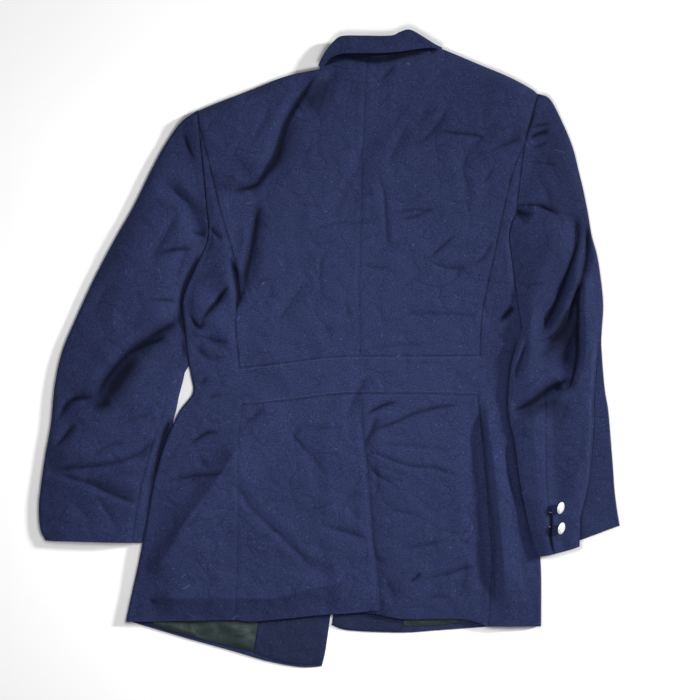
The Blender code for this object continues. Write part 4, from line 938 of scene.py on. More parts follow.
def coons(top: np.ndarray, bottom: np.ndarray, left: np.ndarray, right: np.ndarray,
          u: np.ndarray, v: np.ndarray) -> np.ndarray:
    """Plan grid inside four runs of points that share their corners.

    Args:
        top: Points of the first row.
        bottom: Points of the last row.
        left: Points of the first column.
        right: Points of the last column.
        u: Shares of the columns.
        v: Shares of the rows.

    Returns:
        The grid, rows by columns by two.
    """
    u, v = u[None, :, None], v[:, None, None]
    corners = ((1 - u) * (1 - v) * top[0] + u * (1 - v) * top[-1]
               + (1 - u) * v * bottom[0] + u * v * bottom[-1])
    return ((1 - v) * top[None] + v * bottom[None]
            + (1 - u) * left[:, None] + u * right[:, None] - corners)


def panel_plan(top: list, bottom: list, left: list, right: list, cell: float) -> np.ndarray:
    """Plan grid of a panel between four edges, each of one or more curves."""
    wide = max(length_of(top), length_of(bottom))
    tall = max(length_of(left), length_of(right))
    u, v = crowded(wide, cell), crowded(tall, cell)
    return coons(run_along(top, u), run_along(bottom, u), run_along(left, v), run_along(right, v), u, v)


def drawn_in(grid: np.ndarray, edges: str = "tblr", gap: float = SEAM_GAP / 2) -> np.ndarray:
    """The grid with its named edges moved inwards, which leaves the seam's gap."""
    moved = grid.copy()
    for letter, edge, inside in (("t", np.s_[0], np.s_[1]), ("b", np.s_[-1], np.s_[-2]),
                                 ("l", np.s_[:, 0], np.s_[:, 1]), ("r", np.s_[:, -1], np.s_[:, -2])):
        if letter in edges:
            step = grid[inside] - grid[edge]
            moved[edge] += step / np.maximum(np.linalg.norm(step, axis=-1, keepdims=True), 1e-9) * gap
    return moved


def distance_to(x: np.ndarray, y: np.ndarray, points: list, per_span: int = 8) -> np.ndarray:
    """Distance from places in plan to a smooth curve."""
    line = smooth_curve(points, per_span)[0]
    nearest = np.full(np.shape(x), np.inf)
    for (ax, ay), (sx, sy) in zip(line[:-1], np.diff(line, axis=0)):
        share = np.clip(((x - ax) * sx + (y - ay) * sy) / max(sx * sx + sy * sy, 1e-12), 0, 1)
        away = (x - ax - share * sx) ** 2 + (y - ay - share * sy) ** 2
        nearest = np.minimum(nearest, away)
    return np.sqrt(nearest)


def fold_heights(x: np.ndarray, y: np.ndarray, folds: list) -> np.ndarray:
    """Sum of the solids' soft ridges and troughs, each fading out at its two ends."""
    total = np.zeros_like(x)
    for (x0, y0), (x1, y1), height, left_width, right_width in folds:
        along = np.array([x1 - x0, y1 - y0], float)
        length = np.hypot(*along)
        along /= length
        run = (x - x0) * along[0] + (y - y0) * along[1]
        side = (y - y0) * along[0] - (x - x0) * along[1]
        width = np.where(side > 0, left_width, right_width)
        reach = 0.28 * length
        fade = smoothstep((run + reach / 2) / reach) * smoothstep((length - run + reach / 2) / reach)
        total += height * fade * np.exp(-(side / width) ** 2)
    return total


def within(x: np.ndarray, y: np.ndarray, outline: list) -> np.ndarray:
    """Whether each place in plan lies inside a closed outline."""
    points = np.array(outline, float)
    inside = np.zeros(x.shape, bool)
    for (x0, y0), (x1, y1) in zip(points, np.roll(points, -1, axis=0)):
        if y0 == y1:
            continue
        crosses = (y0 > y) != (y1 > y)
        inside ^= crosses & (x < (x1 - x0) * (y - y0) / (y1 - y0) + x0)
    return inside


def front_height(x: np.ndarray, y: np.ndarray, sides: tuple = ("left", "right")) -> np.ndarray:
    """Middle of the wall of a front, raised where its lapel and collar leaf lie below it."""
    lift = np.zeros_like(x)
    for side in sides:
        lapel, leaf = LAPELS[side], COLLAR_LEAVES[side]
        outline = lapel["roll"] + lapel["edge"][::-1][1:] + lapel["gorge"][1:-1]
        near = np.minimum(distance_to(x, y, lapel["edge"]), distance_to(x, y, lapel["roll"]))
        for a, b in zip(leaf, leaf[1:] + leaf[:1]):
            near = np.minimum(near, distance_to(x, y, [a, b], 1))
        inside = within(x, y, outline) | within(x, y, leaf)
        lift = np.maximum(lift, np.where(inside, 1.0, smoothstep(1 - (near - LAPEL_MARGIN) / LAPEL_RAMP)))
    return FLOOR_LAYER + (CLOTH + LAY_GAP) * lift


def kept_above(height: np.ndarray, floor: np.ndarray, softness: float = 0.5) -> np.ndarray:
    """The height, bent softly so that it never falls below a floor."""
    over = (height - floor) / softness
    return floor + softness * np.where(over > 20, over, np.log1p(np.exp(np.minimum(over, 20))))


@dataclass
class BackSurface:
    """Middle of the wall of the back layer: the solids' form with every crease and seam.

    Attributes:
        creases: Its creases.
        seams: Line and painted shade of each seam by its name.
        lift: Rise over the solids, so that the creases have room below.
    """

    creases: list
    seams: dict
    lift: float = BODY_LIFT

    def solid_height(self, x: np.ndarray, y: np.ndarray) -> tuple[np.ndarray, np.ndarray]:
        """The solids' height and the layer that it rests on."""
        rise = np.zeros_like(x)
        for (cx, cy), height, spread in SHOULDER_PADS + [NECK_RISE]:
            rise += height * np.exp(-((x - cx) ** 2 + (y - cy) ** 2) / spread ** 2)
        resting = front_height(x, y) + CLOTH + LAY_GAP
        raw = np.maximum(BODY_REST + rise + fold_heights(x, y, BODY_FOLDS), BODY_LOWEST)
        return raw, resting

    def seam_relief(self, x: np.ndarray, y: np.ndarray) -> tuple[np.ndarray, np.ndarray]:
        """Sunk seam lines with the pressed welt and small puckers beside them, and their painted shade."""
        relief, dark = np.zeros_like(x), np.zeros_like(x)
        for index, (seam, shade) in enumerate(self.seams.values()):
            away = distance_to(x, y, seam, 6)
            run = x if abs(seam[0][1] - seam[-1][1]) < abs(seam[0][0] - seam[-1][0]) else y
            pucker = np.sin(run / 5.2 + index * 1.7 + 1.6 * np.sin(run / 23.0 + index))
            relief += -0.25 * np.exp(-(away / 1.8) ** 2) + 0.25 * np.exp(-((away - 7.0) / 3.5) ** 2)
            relief += 0.22 * pucker * np.exp(-((away - 4.0) / 5.0) ** 2)
            # Painted shade in the seam's groove
            dark = np.maximum(dark, shade * (1 + 0.25 * pucker) * np.exp(-(away / 1.2) ** 2))
        return relief, dark

    def read(self, x: np.ndarray, y: np.ndarray) -> tuple[np.ndarray, np.ndarray]:
        """Height and dark hollows at places in plan.

        Args:
            x: Plan places, across.
            y: Plan places, along.

        Returns:
            Height of the middle of the wall, and painted shade from 0 to 1.
        """
        x, y = np.asarray(x, float), np.asarray(y, float)
        raw, resting = self.solid_height(x, y)
        rise, painted_shade = np.zeros(x.size), np.zeros(x.size)
        for crease in self.creases:
            crease.add_to(x.ravel(), y.ravel(), rise, painted_shade)
        relief, dark = self.seam_relief(x, y)
        raw = raw + self.lift + rise.reshape(x.shape) + relief
        raw = raw + 0.42 * ripple(x, y, 52.0, 3) + crumple(x, y, 3)
        raw = kept_above(raw, resting + 0.05)
        edge = np.minimum(distance_to(x, y, SHOULDER_LEFT), distance_to(x, y, SHOULDER_RIGHT))
        away = np.clip(edge / SHOULDER_ROLL, 0, 1)
        height = resting + (raw - resting) * np.sqrt(1 - (1 - away) ** 2)
        return height, np.clip(painted_shade.reshape(x.shape) + dark, 0, 0.95)


# Seams of the back: line and strength of the painted shade along it
SEAMS = {
    "centre": (CENTRE_SEAM, 0.18), "back_left": (BACK_SEAM_LEFT, 0.6),
    "back_right": (BACK_SEAM_RIGHT, 0.55), "waist_top": (WAIST_TOP, 0.34),
    "waist_bottom": (WAIST_BOTTOM, 0.34), "skirt_left": (SKIRT_SEAM_LEFT, 0.2),
    "skirt_right": (SKIRT_SEAM_RIGHT, 0.35), "armhole_left": ([*ARMHOLE_LEFT, SIDE_EDGE_LEFT[0]], 0.6),
    "armhole_right": ([*ARMHOLE_RIGHT, SIDE_EDGE_RIGHT[0]], 0.6),
}
BACK = BackSurface(BODY_CREASES, SEAMS)


def flap_lift(x: np.ndarray, y: np.ndarray) -> np.ndarray:
    """Extra height of the left skirt where the vent's underlap lies below it."""
    return UNDERLAP_LIFT * smoothstep((x - across_at(UNDERLAP, y) + 34) / 24)


def in_scene(name: str, data: bpy.types.ID) -> bpy.types.Object:
    """A new object in the scene, at the origin, that holds the given data."""
    obj = bpy.data.objects.new(name, data)
    bpy.context.scene.collection.objects.link(obj)
    return obj


@dataclass
class Cloth:
    """A sheet of cloth as a grid on its middle surface, in millimetres.

    Attributes:
        middle: Places of the grid, rows by columns by three.
        outward: Direction from the lower face to the upper face at each place.
        painted_shade: Painted shade at each place, which the material darkens the colour by.
        thickness: Thickness away from the edges.
        taper: Share of the thickness at the first rows and columns from each edge.
    """

    middle: np.ndarray
    outward: np.ndarray
    painted_shade: np.ndarray
    thickness: float
    taper: tuple = (0.9, 0.98)

    @classmethod
    def level(cls, plan: np.ndarray, heights: np.ndarray, painted_shade: np.ndarray | None = None,
              thickness: float = CLOTH) -> "Cloth":
        """A sheet over a plan grid, its thickness upright."""
        middle = lifted(plan, heights)
        if painted_shade is None:
            painted_shade = np.zeros(heights.shape)
        return cls(middle, np.broadcast_to(UP, middle.shape), painted_shade, thickness)

    def steps(self, axis: int) -> np.ndarray:
        """Lengths between neighbouring places of the grid along an axis."""
        return np.linalg.norm(np.diff(self.middle, axis=axis), axis=-1)

    def spans(self) -> tuple[float, float]:
        """Greatest width and length along the cloth, in metres."""
        return float(self.steps(1).sum(1).max() * MM), float(self.steps(0).sum(0).max() * MM)

    def texture_places(self) -> np.ndarray:
        """Places on the uncut cloth in metres: lengths along it from its middle row and column."""
        u = np.pad(np.cumsum(self.steps(1), axis=1), ((0, 0), (1, 0)))
        v = np.pad(np.cumsum(self.steps(0), axis=0), ((1, 0), (0, 0)))
        u -= u[:, u.shape[1] // 2, None]
        v -= v[v.shape[0] // 2, None, :]
        return np.stack([u, -v], axis=-1) * MM

    def edge_shares(self) -> np.ndarray:
        """Share of the thickness at each place, thinner at the edges so that they look rounded."""
        share = np.ones(self.middle.shape[:2])
        for index, value in enumerate(self.taper):
            for part in (share[index, :], share[-1 - index, :], share[:, index], share[:, -1 - index]):
                np.minimum(part, value, out=part)
        return share

    def faces(self) -> np.ndarray:
        """Faces of the closed wall, over the places of the upper grid and then of the lower one."""
        rows, columns = self.middle.shape[:2]
        index = np.arange(rows * columns).reshape(rows, columns)
        upper = np.stack([index[:-1, :-1], index[1:, :-1], index[1:, 1:], index[:-1, 1:]], -1)
        upper = upper.reshape(-1, 4)
        lower = (upper + index.size)[:, [0, 3, 2, 1]]
        rim = np.concatenate([index[:, 0], index[-1, 1:], index[::-1, -1][1:], index[0, ::-1][1:-1]])
        after = np.roll(rim, -1)
        sides = np.stack([rim, rim + index.size, after + index.size, after], -1)
        faces = np.concatenate([upper, lower, sides])
        row, column = rows // 2, columns // 2
        cross = np.cross(self.middle[row + 1, column] - self.middle[row, column],
                         self.middle[row, column + 1] - self.middle[row, column])
        return faces[:, ::-1] if cross @ self.outward[row, column] < 0 else faces

    def build(self, name: str, finish: Finish) -> bpy.types.Object:
        """Makes the closed wall of cloth.

        Args:
            name: Name of the new object.
            finish: Its material.

        Returns:
            The object, with its texture places and its painted shade as an attribute.
        """
        half = self.outward * (self.thickness / 2 * self.edge_shares())[..., None]
        places = np.stack([self.middle + half, self.middle - half])
        places[..., :2] -= FOOTPRINT_CENTRE
        faces = self.faces()
        mesh = bpy.data.meshes.new(name)
        mesh.from_pydata((places.reshape(-1, 3) * MM).tolist(), [], faces.tolist())
        mesh.materials.append(FINISHES[finish].material())
        layer = mesh.uv_layers.new(name="cloth")
        flat = np.tile(self.texture_places().reshape(-1, 2), (2, 1))
        layer.data.foreach_set("uv", flat[faces.ravel()].astype(np.float32).ravel())
        # Painted shade, stored for the material to darken the colour by
        dark = mesh.attributes.new("painted_shade", "FLOAT", "POINT")
        dark.data.foreach_set("value", np.tile(self.painted_shade.ravel(), 2).astype(np.float32))
        mesh.shade_smooth()
        mesh.set_sharp_from_angle(angle=math.radians(60))
        mesh.validate()
        return in_scene(name, mesh)


def dressed(node: str, cloth: Cloth, finish: Finish) -> bpy.types.Object:
    """Args:
        node: The CAD node that the piece stands for.
        cloth: Its grid.
        finish: Its material.

    Returns:
        The new piece.
    """
    piece = cloth.build(f"cloth_{node}", finish)
    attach(piece, "root")
    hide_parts(node)
    width, length = (round(span + 0.0005, 3) for span in cloth.spans())
    return piece


@dataclass
class BackPanels:
    """Upper back, waistband and skirt: everything between the two side back seams."""

    cell: float = 1.85

    def upper_halves(self) -> None:
        """The two halves of the upper back, from shoulder to waistband."""
        halves = {
            "back_left": ([SHOULDER_LEFT, NECKLINE[:3]], [WAIST_TOP[:4]],
                          [ARMHOLE_LEFT, BACK_SEAM_LEFT], [CENTRE_SEAM]),
            "back_right": ([NECKLINE[2:], SHOULDER_RIGHT], [WAIST_TOP[3:]],
                           [CENTRE_SEAM], [ARMHOLE_RIGHT, BACK_SEAM_RIGHT]),
        }
        for node, edges in halves.items():
            plan = drawn_in(panel_plan(*edges, self.cell))
            height, painted_shade = BACK.read(plan[..., 0], plan[..., 1])
            dressed(node, Cloth.level(plan, height, painted_shade), Finish.WOOL)

    def waistband(self) -> None:
        """The inset band across the back waist, edged by its two rows of stitches."""
        ends = [BAND_END_LEFT], [BAND_END_RIGHT]
        plan = drawn_in(panel_plan([WAIST_TOP], [WAIST_BOTTOM], *ends, self.cell))
        height, painted_shade = BACK.read(plan[..., 0], plan[..., 1])
        dressed("waistband", Cloth.level(plan, height, painted_shade), Finish.WOOL)

    def skirts(self) -> None:
        """The skirt's two halves, the left lapped over the right along the centre vent."""
        plan = drawn_in(panel_plan([WAIST_BOTTOM[:4]], [HEM_LEFT], [SKIRT_SEAM_LEFT], [VENT], self.cell))
        x, y = plan[..., 0], plan[..., 1]
        height, painted_shade = BACK.read(x, y)
        edge = distance_to(x, y, VENT)
        pressed = -0.5 * np.exp(-((edge - 3.0) / 1.6) ** 2) + 0.5 * np.exp(-((edge - 8.0) / 5.0) ** 2)
        low = smoothstep((-70 - y) / 40)
        dressed("skirt_left", Cloth.level(plan, height + flap_lift(x, y) + pressed * low, painted_shade),
                Finish.WOOL)
        top = [[UNDERLAP[0], WAIST_BOTTOM[3]], WAIST_BOTTOM[3:]]
        plan = drawn_in(panel_plan(top, [HEM_RIGHT], [UNDERLAP], [SKIRT_SEAM_RIGHT], self.cell))
        x, y = plan[..., 0], plan[..., 1]
        height, painted_shade = BACK.read(x, y)
        beyond = x - across_at(VENT, y)
        # Painted shadow of the left skirt's lapped edge on the underlap
        shaded = np.exp(-(np.maximum(beyond, 0) / 9.0) ** 1.5) * smoothstep((-95 - y) / 30)
        painted_shade = np.clip(painted_shade + 0.35 * shaded, 0, 1)
        solid, resting = BACK.solid_height(x, y)
        below_flap = smoothstep((4 - beyond) / 6)
        flat = np.minimum(height, solid + 0.6)
        height = height + (flat - height) * below_flap
        dressed("skirt_right", Cloth.level(plan, height, painted_shade), Finish.WOOL)

    def build(self) -> None:
        """Makes the five panels."""
        self.upper_halves()
        self.waistband()
        self.skirts()


def turn_about(edge: np.ndarray, outward: np.ndarray, radius: np.ndarray, low: np.ndarray,
               angles: np.ndarray) -> tuple[np.ndarray, np.ndarray]:
    """Half-circle run at a fold.

    Args:
        edge: Plan places of the fold, one a row.
        outward: Plan direction away from the cloth at each of them.
        radius: Radius of the fold.
        low: Height of the lower layer's middle.
        angles: Angles along the half circle, 0 at the upper layer.

    Returns:
        Places and outward directions of the run's grid.
    """
    sine, cosine = np.sin(angles), np.cos(angles)
    across = radius[:, None] * (sine - 1)
    plan = edge[:, None, :] + outward[:, None, :] * across[..., None]
    middle = lifted(plan, (low + radius)[:, None] + radius[:, None] * cosine)
    normal = np.concatenate([outward[:, None, :] * sine[:, None],
                             np.broadcast_to(cosine[:, None], (len(edge), len(angles), 1))], axis=-1)
    return middle, normal


@dataclass
class SidePanels:
    """The side bodies, which turn over the side folds to the fronts below.

    Attributes:
        fineness: Rows for each eleventh of the back seam's length.
        top_columns: Columns of the upper run.
        turn_columns: Columns of the fold.
        under_columns: Columns of the lower run.
    """

    fineness: int = 11
    top_columns: int = 38
    turn_columns: int = 9
    under_columns: int = 9

    def rows(self, back_seam: list, band_end: list, skirt_seam: list, edge: list,
             front_seam: list) -> tuple[np.ndarray, np.ndarray, np.ndarray]:
        """Where each row meets the back seam, the side fold and the hidden front seam."""
        fine = self.fineness
        back = joined(sample(back_seam, even(11 * fine)), sample(band_end, even(2 * fine)),
                      sample(skirt_seam, even(11 * fine)))
        count = np.arange(len(back)) / fine
        ends = []
        for curve in (edge, front_seam):
            level = np.minimum(back[:, 1], curve[0][1] - ARMPIT_STEP * count)
            level += (curve[-1][1] - level[-1]) * smoothstep((count / count[-1] - 0.5) * 2)
            ends.append(np.stack([across_at(curve, level), level], axis=1))
        return back, ends[0], ends[1]

    def sleeve_shadow(self, plan: np.ndarray) -> np.ndarray:
        """Painted shadow of the right sleeve on the side body beside it."""
        strength, width, top, fade = SLEEVE_SHADOW
        away = distance_to(plan[..., 0], plan[..., 1], SLEEVE_RIGHT["inner"])
        return strength * (np.exp(-(away / width) ** 1.3) * smoothstep((top - plan[..., 1]) / fade))

    def panel(self, side: str, back: np.ndarray, edge: np.ndarray, front: np.ndarray) -> None:
        """One side body, from its rows' ends at the back seam, the side fold and the front seam."""
        across = edge - back
        length = np.linalg.norm(across, axis=1, keepdims=True)
        outward = across / length
        probe = edge - outward * 3.0
        low = np.full(len(edge), FLOOR_LAYER)
        solid, resting = BACK.solid_height(probe[:, 0], probe[:, 1])
        radius = (np.maximum(solid, resting) + 0.4 * BODY_LIFT - low) / 2
        turn_start = edge - outward * radius[:, None]
        inset = 0.6 / length.max()
        share = np.concatenate([[0.0, inset, 3 * inset], np.linspace(5 * inset, 1, self.top_columns)])
        plan = back[:, None] * (1 - share[None, :, None]) + turn_start[:, None] * share[None, :, None]
        height, painted_shade = BACK.read(plan[..., 0], plan[..., 1])
        if side == "right":
            painted_shade = np.clip(painted_shade + self.sleeve_shadow(plan), 0, 0.95)
        level = (low + 2 * radius)[:, None]
        top = lifted(plan, height + (level - height) * smoothstep(share * 5 - 4)[None, :])
        turn, turn_normal = turn_about(edge, outward, radius, low, half_turn(self.turn_columns))
        share = even(self.under_columns)[None, :, None]
        below = turn_start[:, None] * (1 - share) + front[:, None] * share
        below = lifted(below, np.full(below.shape[:2], FLOOR_LAYER))
        middle = drawn_in(np.concatenate([top, turn, below], axis=1))
        outward = np.concatenate([np.broadcast_to(UP, top.shape), turn_normal,
                                  np.broadcast_to(-UP, below.shape)], axis=1)
        dark = np.zeros(middle.shape[:2])
        dark[:, :painted_shade.shape[1]] = painted_shade * (1 - smoothstep(even(painted_shade.shape[1] - 1) * 6 - 5))
        cloth = Cloth(middle, outward, dark, CLOTH)
        dressed(f"side_{side}", cloth, Finish.WOOL)

    def build(self) -> None:
        """Makes both side bodies."""
        for side, curves in SIDE_CURVES.items():
            self.panel(side, *self.rows(*curves))


@dataclass
class Fronts:
    """The two fronts with lapels and collar leaves, all below the back."""

    cell: float = 7.0

    def outer_edge(self, side: str, shares: np.ndarray) -> np.ndarray:
        """The front's long edge from shoulder through armhole and front seam to the hem."""
        armhole = FRONT_ARMHOLE_LEFT if side == "left" else FRONT_ARMHOLE_RIGHT
        seam = SidePanels().rows(*SIDE_CURVES[side])[2]
        return places_on(joined(sample(armhole, even(12)), seam), shares)

    def front(self, side: str) -> None:
        """One front, outer side down, raised where a lapel lies below."""
        edge, hem, shoulder = ((FRONT_EDGE_LEFT, FRONT_HEM_LEFT, SHOULDER_LEFT) if side == "left" else
                               (FRONT_EDGE_RIGHT, FRONT_HEM_RIGHT, SHOULDER_RIGHT))
        u, v = crowded(length_of([hem]), self.cell), crowded(length_of([edge]), self.cell)
        inner, outer = sample(edge, v), self.outer_edge(side, v)
        top, bottom = sample(shoulder, u), sample(hem, u)
        top[-1 if side == "left" else 0] = inner[0]
        sides = (outer, inner) if side == "left" else (inner, outer)
        plan = drawn_in(coons(top, bottom, *sides, u, v))
        height = front_height(plan[..., 0], plan[..., 1], (side,))
        dressed(f"front_{side}", Cloth.level(plan, height), Finish.WOOL)

    def folded_under(self, node: str, plan: np.ndarray) -> None:
        """A piece that is folded flat onto the outside of its front."""
        cloth = Cloth.level(plan, np.full(plan.shape[:2], FLOOR_LAYER))
        dressed(node, cloth, Finish.FACING)

    def lapels(self) -> None:
        """The lapels, from gorge to break."""
        for side, lapel in LAPELS.items():
            u, v = even(24), even(60)
            gorge = sample(lapel["gorge"], u)
            edge, roll = (sample(lapel[name], v) for name in ("edge", "roll"))
            tip = edge[-1] + (roll[-1] - edge[-1]) * u[:, None]
            self.folded_under(f"lapel_{side}", drawn_in(coons(gorge, tip, edge, roll, u, v)))

    def collar_leaves(self) -> None:
        """The ends of the collar beyond the lapels."""
        for side, leaf in COLLAR_LEAVES.items():
            tip, shoulder_end, neck_end, roll_end = (np.array(p, float) for p in leaf)
            share = even(18)
            gorge = sample(LAPELS[side]["gorge"], share) + (roll_end - LAPELS[side]["gorge"][-1])
            gorge[0] = tip
            top, left, right = (start + (end - start) * share[:, None] for start, end in (
                (shoulder_end, neck_end), (shoulder_end, tip), (neck_end, roll_end)))
            self.folded_under(f"collar_leaf_{side}", coons(top, gorge, left, right, share, share))

    def build(self) -> None:
        """Makes the fronts and what is folded under them."""
        for side in ("left", "right"):
            self.front(side)
        self.lapels()
        self.collar_leaves()


@dataclass(frozen=True)
class HemStrip:
    """A facing or lining of a front, where it shows below the back's hem.

    Attributes:
        node: Its CAD node.
        finish: Its material.
        low: Its edge at the front's hem.
        high: Its edge under the back.
        crumple: Height of its folds.
        wave: Usual length of their waves.
        seed: Start of the fixed random numbers.
    """

    node: str
    finish: Finish
    low: list
    high: list
    crumple: float
    wave: float
    seed: int

    def build(self) -> None:
        """Makes the strip, crumpled upwards from the front that it lies on."""
        u = crowded(length_of([self.high]), 1.6)
        v = crowded(40.0, 1.6)
        top, bottom = sample(self.high, u), sample(self.low, u)
        plan = drawn_in(coons(top, bottom, top[0] + (bottom[0] - top[0]) * v[:, None],
                              top[-1] + (bottom[-1] - top[-1]) * v[:, None], u, v))
        x, y = plan[..., 0], plan[..., 1]
        folds = np.maximum(ripple(x + 0.55 * y, y * 0.45, self.wave, self.seed), -0.4) + 0.4
        folds += 0.45 * np.abs(ripple(x, y, self.wave * 0.7, self.seed + 1))
        inside = distance_to(x, y, self.low)
        out = smoothstep((34 - inside) / 10) * smoothstep(inside / 5)
        height = LINING_LAYER + self.crumple * folds * out
        dressed(self.node, Cloth.level(plan, height, thickness=LINING), self.finish)


HEM_STRIPS = [
    HemStrip("facing_left", Finish.FACING, [(-101, -404), (-55, -418), (-14, -420)],
             [(-90, -335), (-45, -333), (-2, -335)], 0.5, 30.0, 11),
    HemStrip("lining_left", Finish.LINING, [(-236, -368), (-173, -386), (-102, -403)],
             [(-232, -333), (-150, -333), (-91, -335)], 2.4, 38.0, 12),
    HemStrip("facing_right", Finish.FACING, [(5, -367), (30, -373), (97, -376)],
             [(9, -310), (40, -310), (97, -310)], 0.4, 30.0, 13),
    HemStrip("lining_right", Finish.LINING, [(98, -369), (140, -368), (196, -362)],
             [(98, -310), (140, -310), (200, -310)], 1.3, 32.0, 14),
]


def column_of(table: list, stations: np.ndarray, column: int) -> np.ndarray:
    """A named column of a table of sections, read at each station."""
    rows = np.array(table, float)
    return np.interp(stations, rows[:, 0], rows[:, column])


@dataclass
class Sleeve:
    """A flattened sleeve: rings from armhole to cuff, cut into a top and an under sleeve.

    Attributes:
        side: Left or right.
        shape: Its outer and inner folds in plan and its hidden seam.
        sections: Rise and elbow seam at stations along it.
        folds: The solids' large folds.
        creases: The finer creases.
        tuck: Width that shows and hidden depth of the long tuck at stations.
        bow: How far the cuff edge bows down.
        rests_on: The body's side fold that it lies over, if it does.
        rows: Steps between its rings.
        top_columns: Columns of the top sleeve's upper run.
        turn_columns: Columns of a fold.
    """

    side: str
    shape: dict
    sections: list
    folds: list
    creases: list
    tuck: list = field(default_factory=lambda: [(0.0, 0.0, 0.0), (1.0, 0.0, 0.0)])
    bow: float = 0.0
    rests_on: list | None = None
    rows: int = 290
    top_columns: int = 66
    turn_columns: int = 9

    def __post_init__(self) -> None:
        """Reads the tables at every ring."""
        self.stations = even(self.rows)
        self.outer = sample(self.shape["outer"], self.stations)
        self.inner = self.closed_up(sample(self.shape["inner"], self.stations))
        self.rise, self.elbow = (column_of(self.sections, self.stations, k) for k in (1, 2))
        self.show, self.depth = (column_of(self.tuck, self.stations, k) for k in (1, 2))
        across = self.outer - self.inner
        self.width = np.linalg.norm(across, axis=1)
        self.across = across / self.width[:, None]
        self.down = np.stack([self.across[:, 1], -self.across[:, 0]], axis=1)
        if self.side == "left":
            self.down = -self.down
        self.has_tuck = bool(self.show.max() > 0)
        self.edge_rise = np.full(len(self.stations), 2 * SLEEVE_EDGE_TURN)
        if self.has_tuck:
            self.edge_rise += (3 * TUCK_LAYER_RISE - self.edge_rise) * smoothstep(self.show / 10.0)

    def closed_up(self, inner: np.ndarray) -> np.ndarray:
        """The inner fold, moved close to the body's side fold except where the surface shows between."""
        beside = across_at(SIDE_EDGE_LEFT if self.side == "left" else SIDE_EDGE_RIGHT, inner[:, 1])
        sign = 1.0 if self.side == "left" else -1.0
        gap = np.clip((beside - inner[:, 0]) * sign - 0.8, 0, None)
        weight = smoothstep(self.stations / 0.03)
        if self.side == "left":
            low, high = LEFT_GAP
            weight *= 1 - smoothstep((inner[:, 1] - low) / 12) * smoothstep((high - inner[:, 1]) / 16)
        else:
            weight *= smoothstep((inner[:, 1] - RIGHT_GAP_TOP) / 10)
        moved = inner.copy()
        moved[:, 0] += sign * gap * weight
        return moved

    def armhole_fit(self, y: np.ndarray) -> np.ndarray:
        """How far the first ring moves sideways to follow the body's armhole."""
        armhole = np.array(SEAMS[f"armhole_{self.side}"][0], float)[::-1]
        straight = armhole[[0, -1]]
        return np.interp(y, armhole[:, 1], armhole[:, 0]) - np.interp(y, straight[:, 1], straight[:, 0])

    def support(self, x: np.ndarray, y: np.ndarray) -> np.ndarray:
        """Middle of the lower layer: on the surface, or over the body's side where it lies on it."""
        if self.rests_on is None:
            return np.full_like(x, FLOOR_LAYER)
        edge = across_at(self.rests_on, y)
        solid, resting = BACK.solid_height(np.minimum(x, edge - 3), y)
        body_top = np.maximum(solid, resting) + 0.5 * BODY_LIFT + CLOTH / 2 + LAY_GAP + CLOTH / 2
        over = smoothstep((LIES_BELOW - y) / 34) * smoothstep((edge + LIES_BEYOND - x) / 30)
        return FLOOR_LAYER + (body_top + 0.6 - FLOOR_LAYER) * over

    def notched(self, plan: np.ndarray) -> np.ndarray:
        """Plan points with the cuff's lower layer drawn up beside the end of the tuck."""
        if not self.has_tuck:
            return plan
        start, end, lift = CUFF_NOTCH
        x = plan[..., 0]
        beside = smoothstep((x - start) / 4) * np.clip((end - x) / (end - start), 0, 1)
        near = smoothstep((self.stations - CUFF_NOTCH_FROM) / 0.14)[:, None]
        return plan - self.down[:, None] * (lift * beside * near)[..., None]

    def place(self, share: np.ndarray) -> np.ndarray:
        """Plan points of each ring at shares of its width, from the inner fold to the outer."""
        share = np.broadcast_to(share, (len(self.inner), np.shape(share)[-1]))
        plan = self.inner[:, None] + self.across[:, None] * (share * self.width[:, None])[..., None]
        bulge = self.bow * 4 * share * (1 - share) * smoothstep((self.stations - 0.8) / 0.2)[:, None]
        plan = plan + self.down[:, None] * bulge[..., None]
        fit = self.armhole_fit(self.inner[0, 1] + (self.outer[0, 1] - self.inner[0, 1]) * share)
        plan[..., 0] += fit * (1 - smoothstep(self.stations / 0.14))[:, None]
        return self.notched(plan)

    def base(self, x: np.ndarray, y: np.ndarray, share: np.ndarray, limit: np.ndarray) -> np.ndarray:
        """Height of the upper layer before its folds.

        Args:
            x: Plan places, across.
            y: Plan places, along.
            share: Shares of the width.
            limit: Share at which the upper layer ends in each ring.

        Returns:
            Heights, level across the sleeve or over the body, and higher above the tuck.
        """
        low_turn = 2 * SLEEVE_EDGE_TURN
        if self.rests_on is None:
            inner = self.support(self.inner[:, 0], self.inner[:, 1])[:, None] + low_turn
            return inner + ((FLOOR_LAYER + self.edge_rise)[:, None] - inner) * share
        extra = self.edge_rise[:, None] - low_turn
        return self.support(x, y) + low_turn + extra * smoothstep(share / limit * 2 - 0.6)

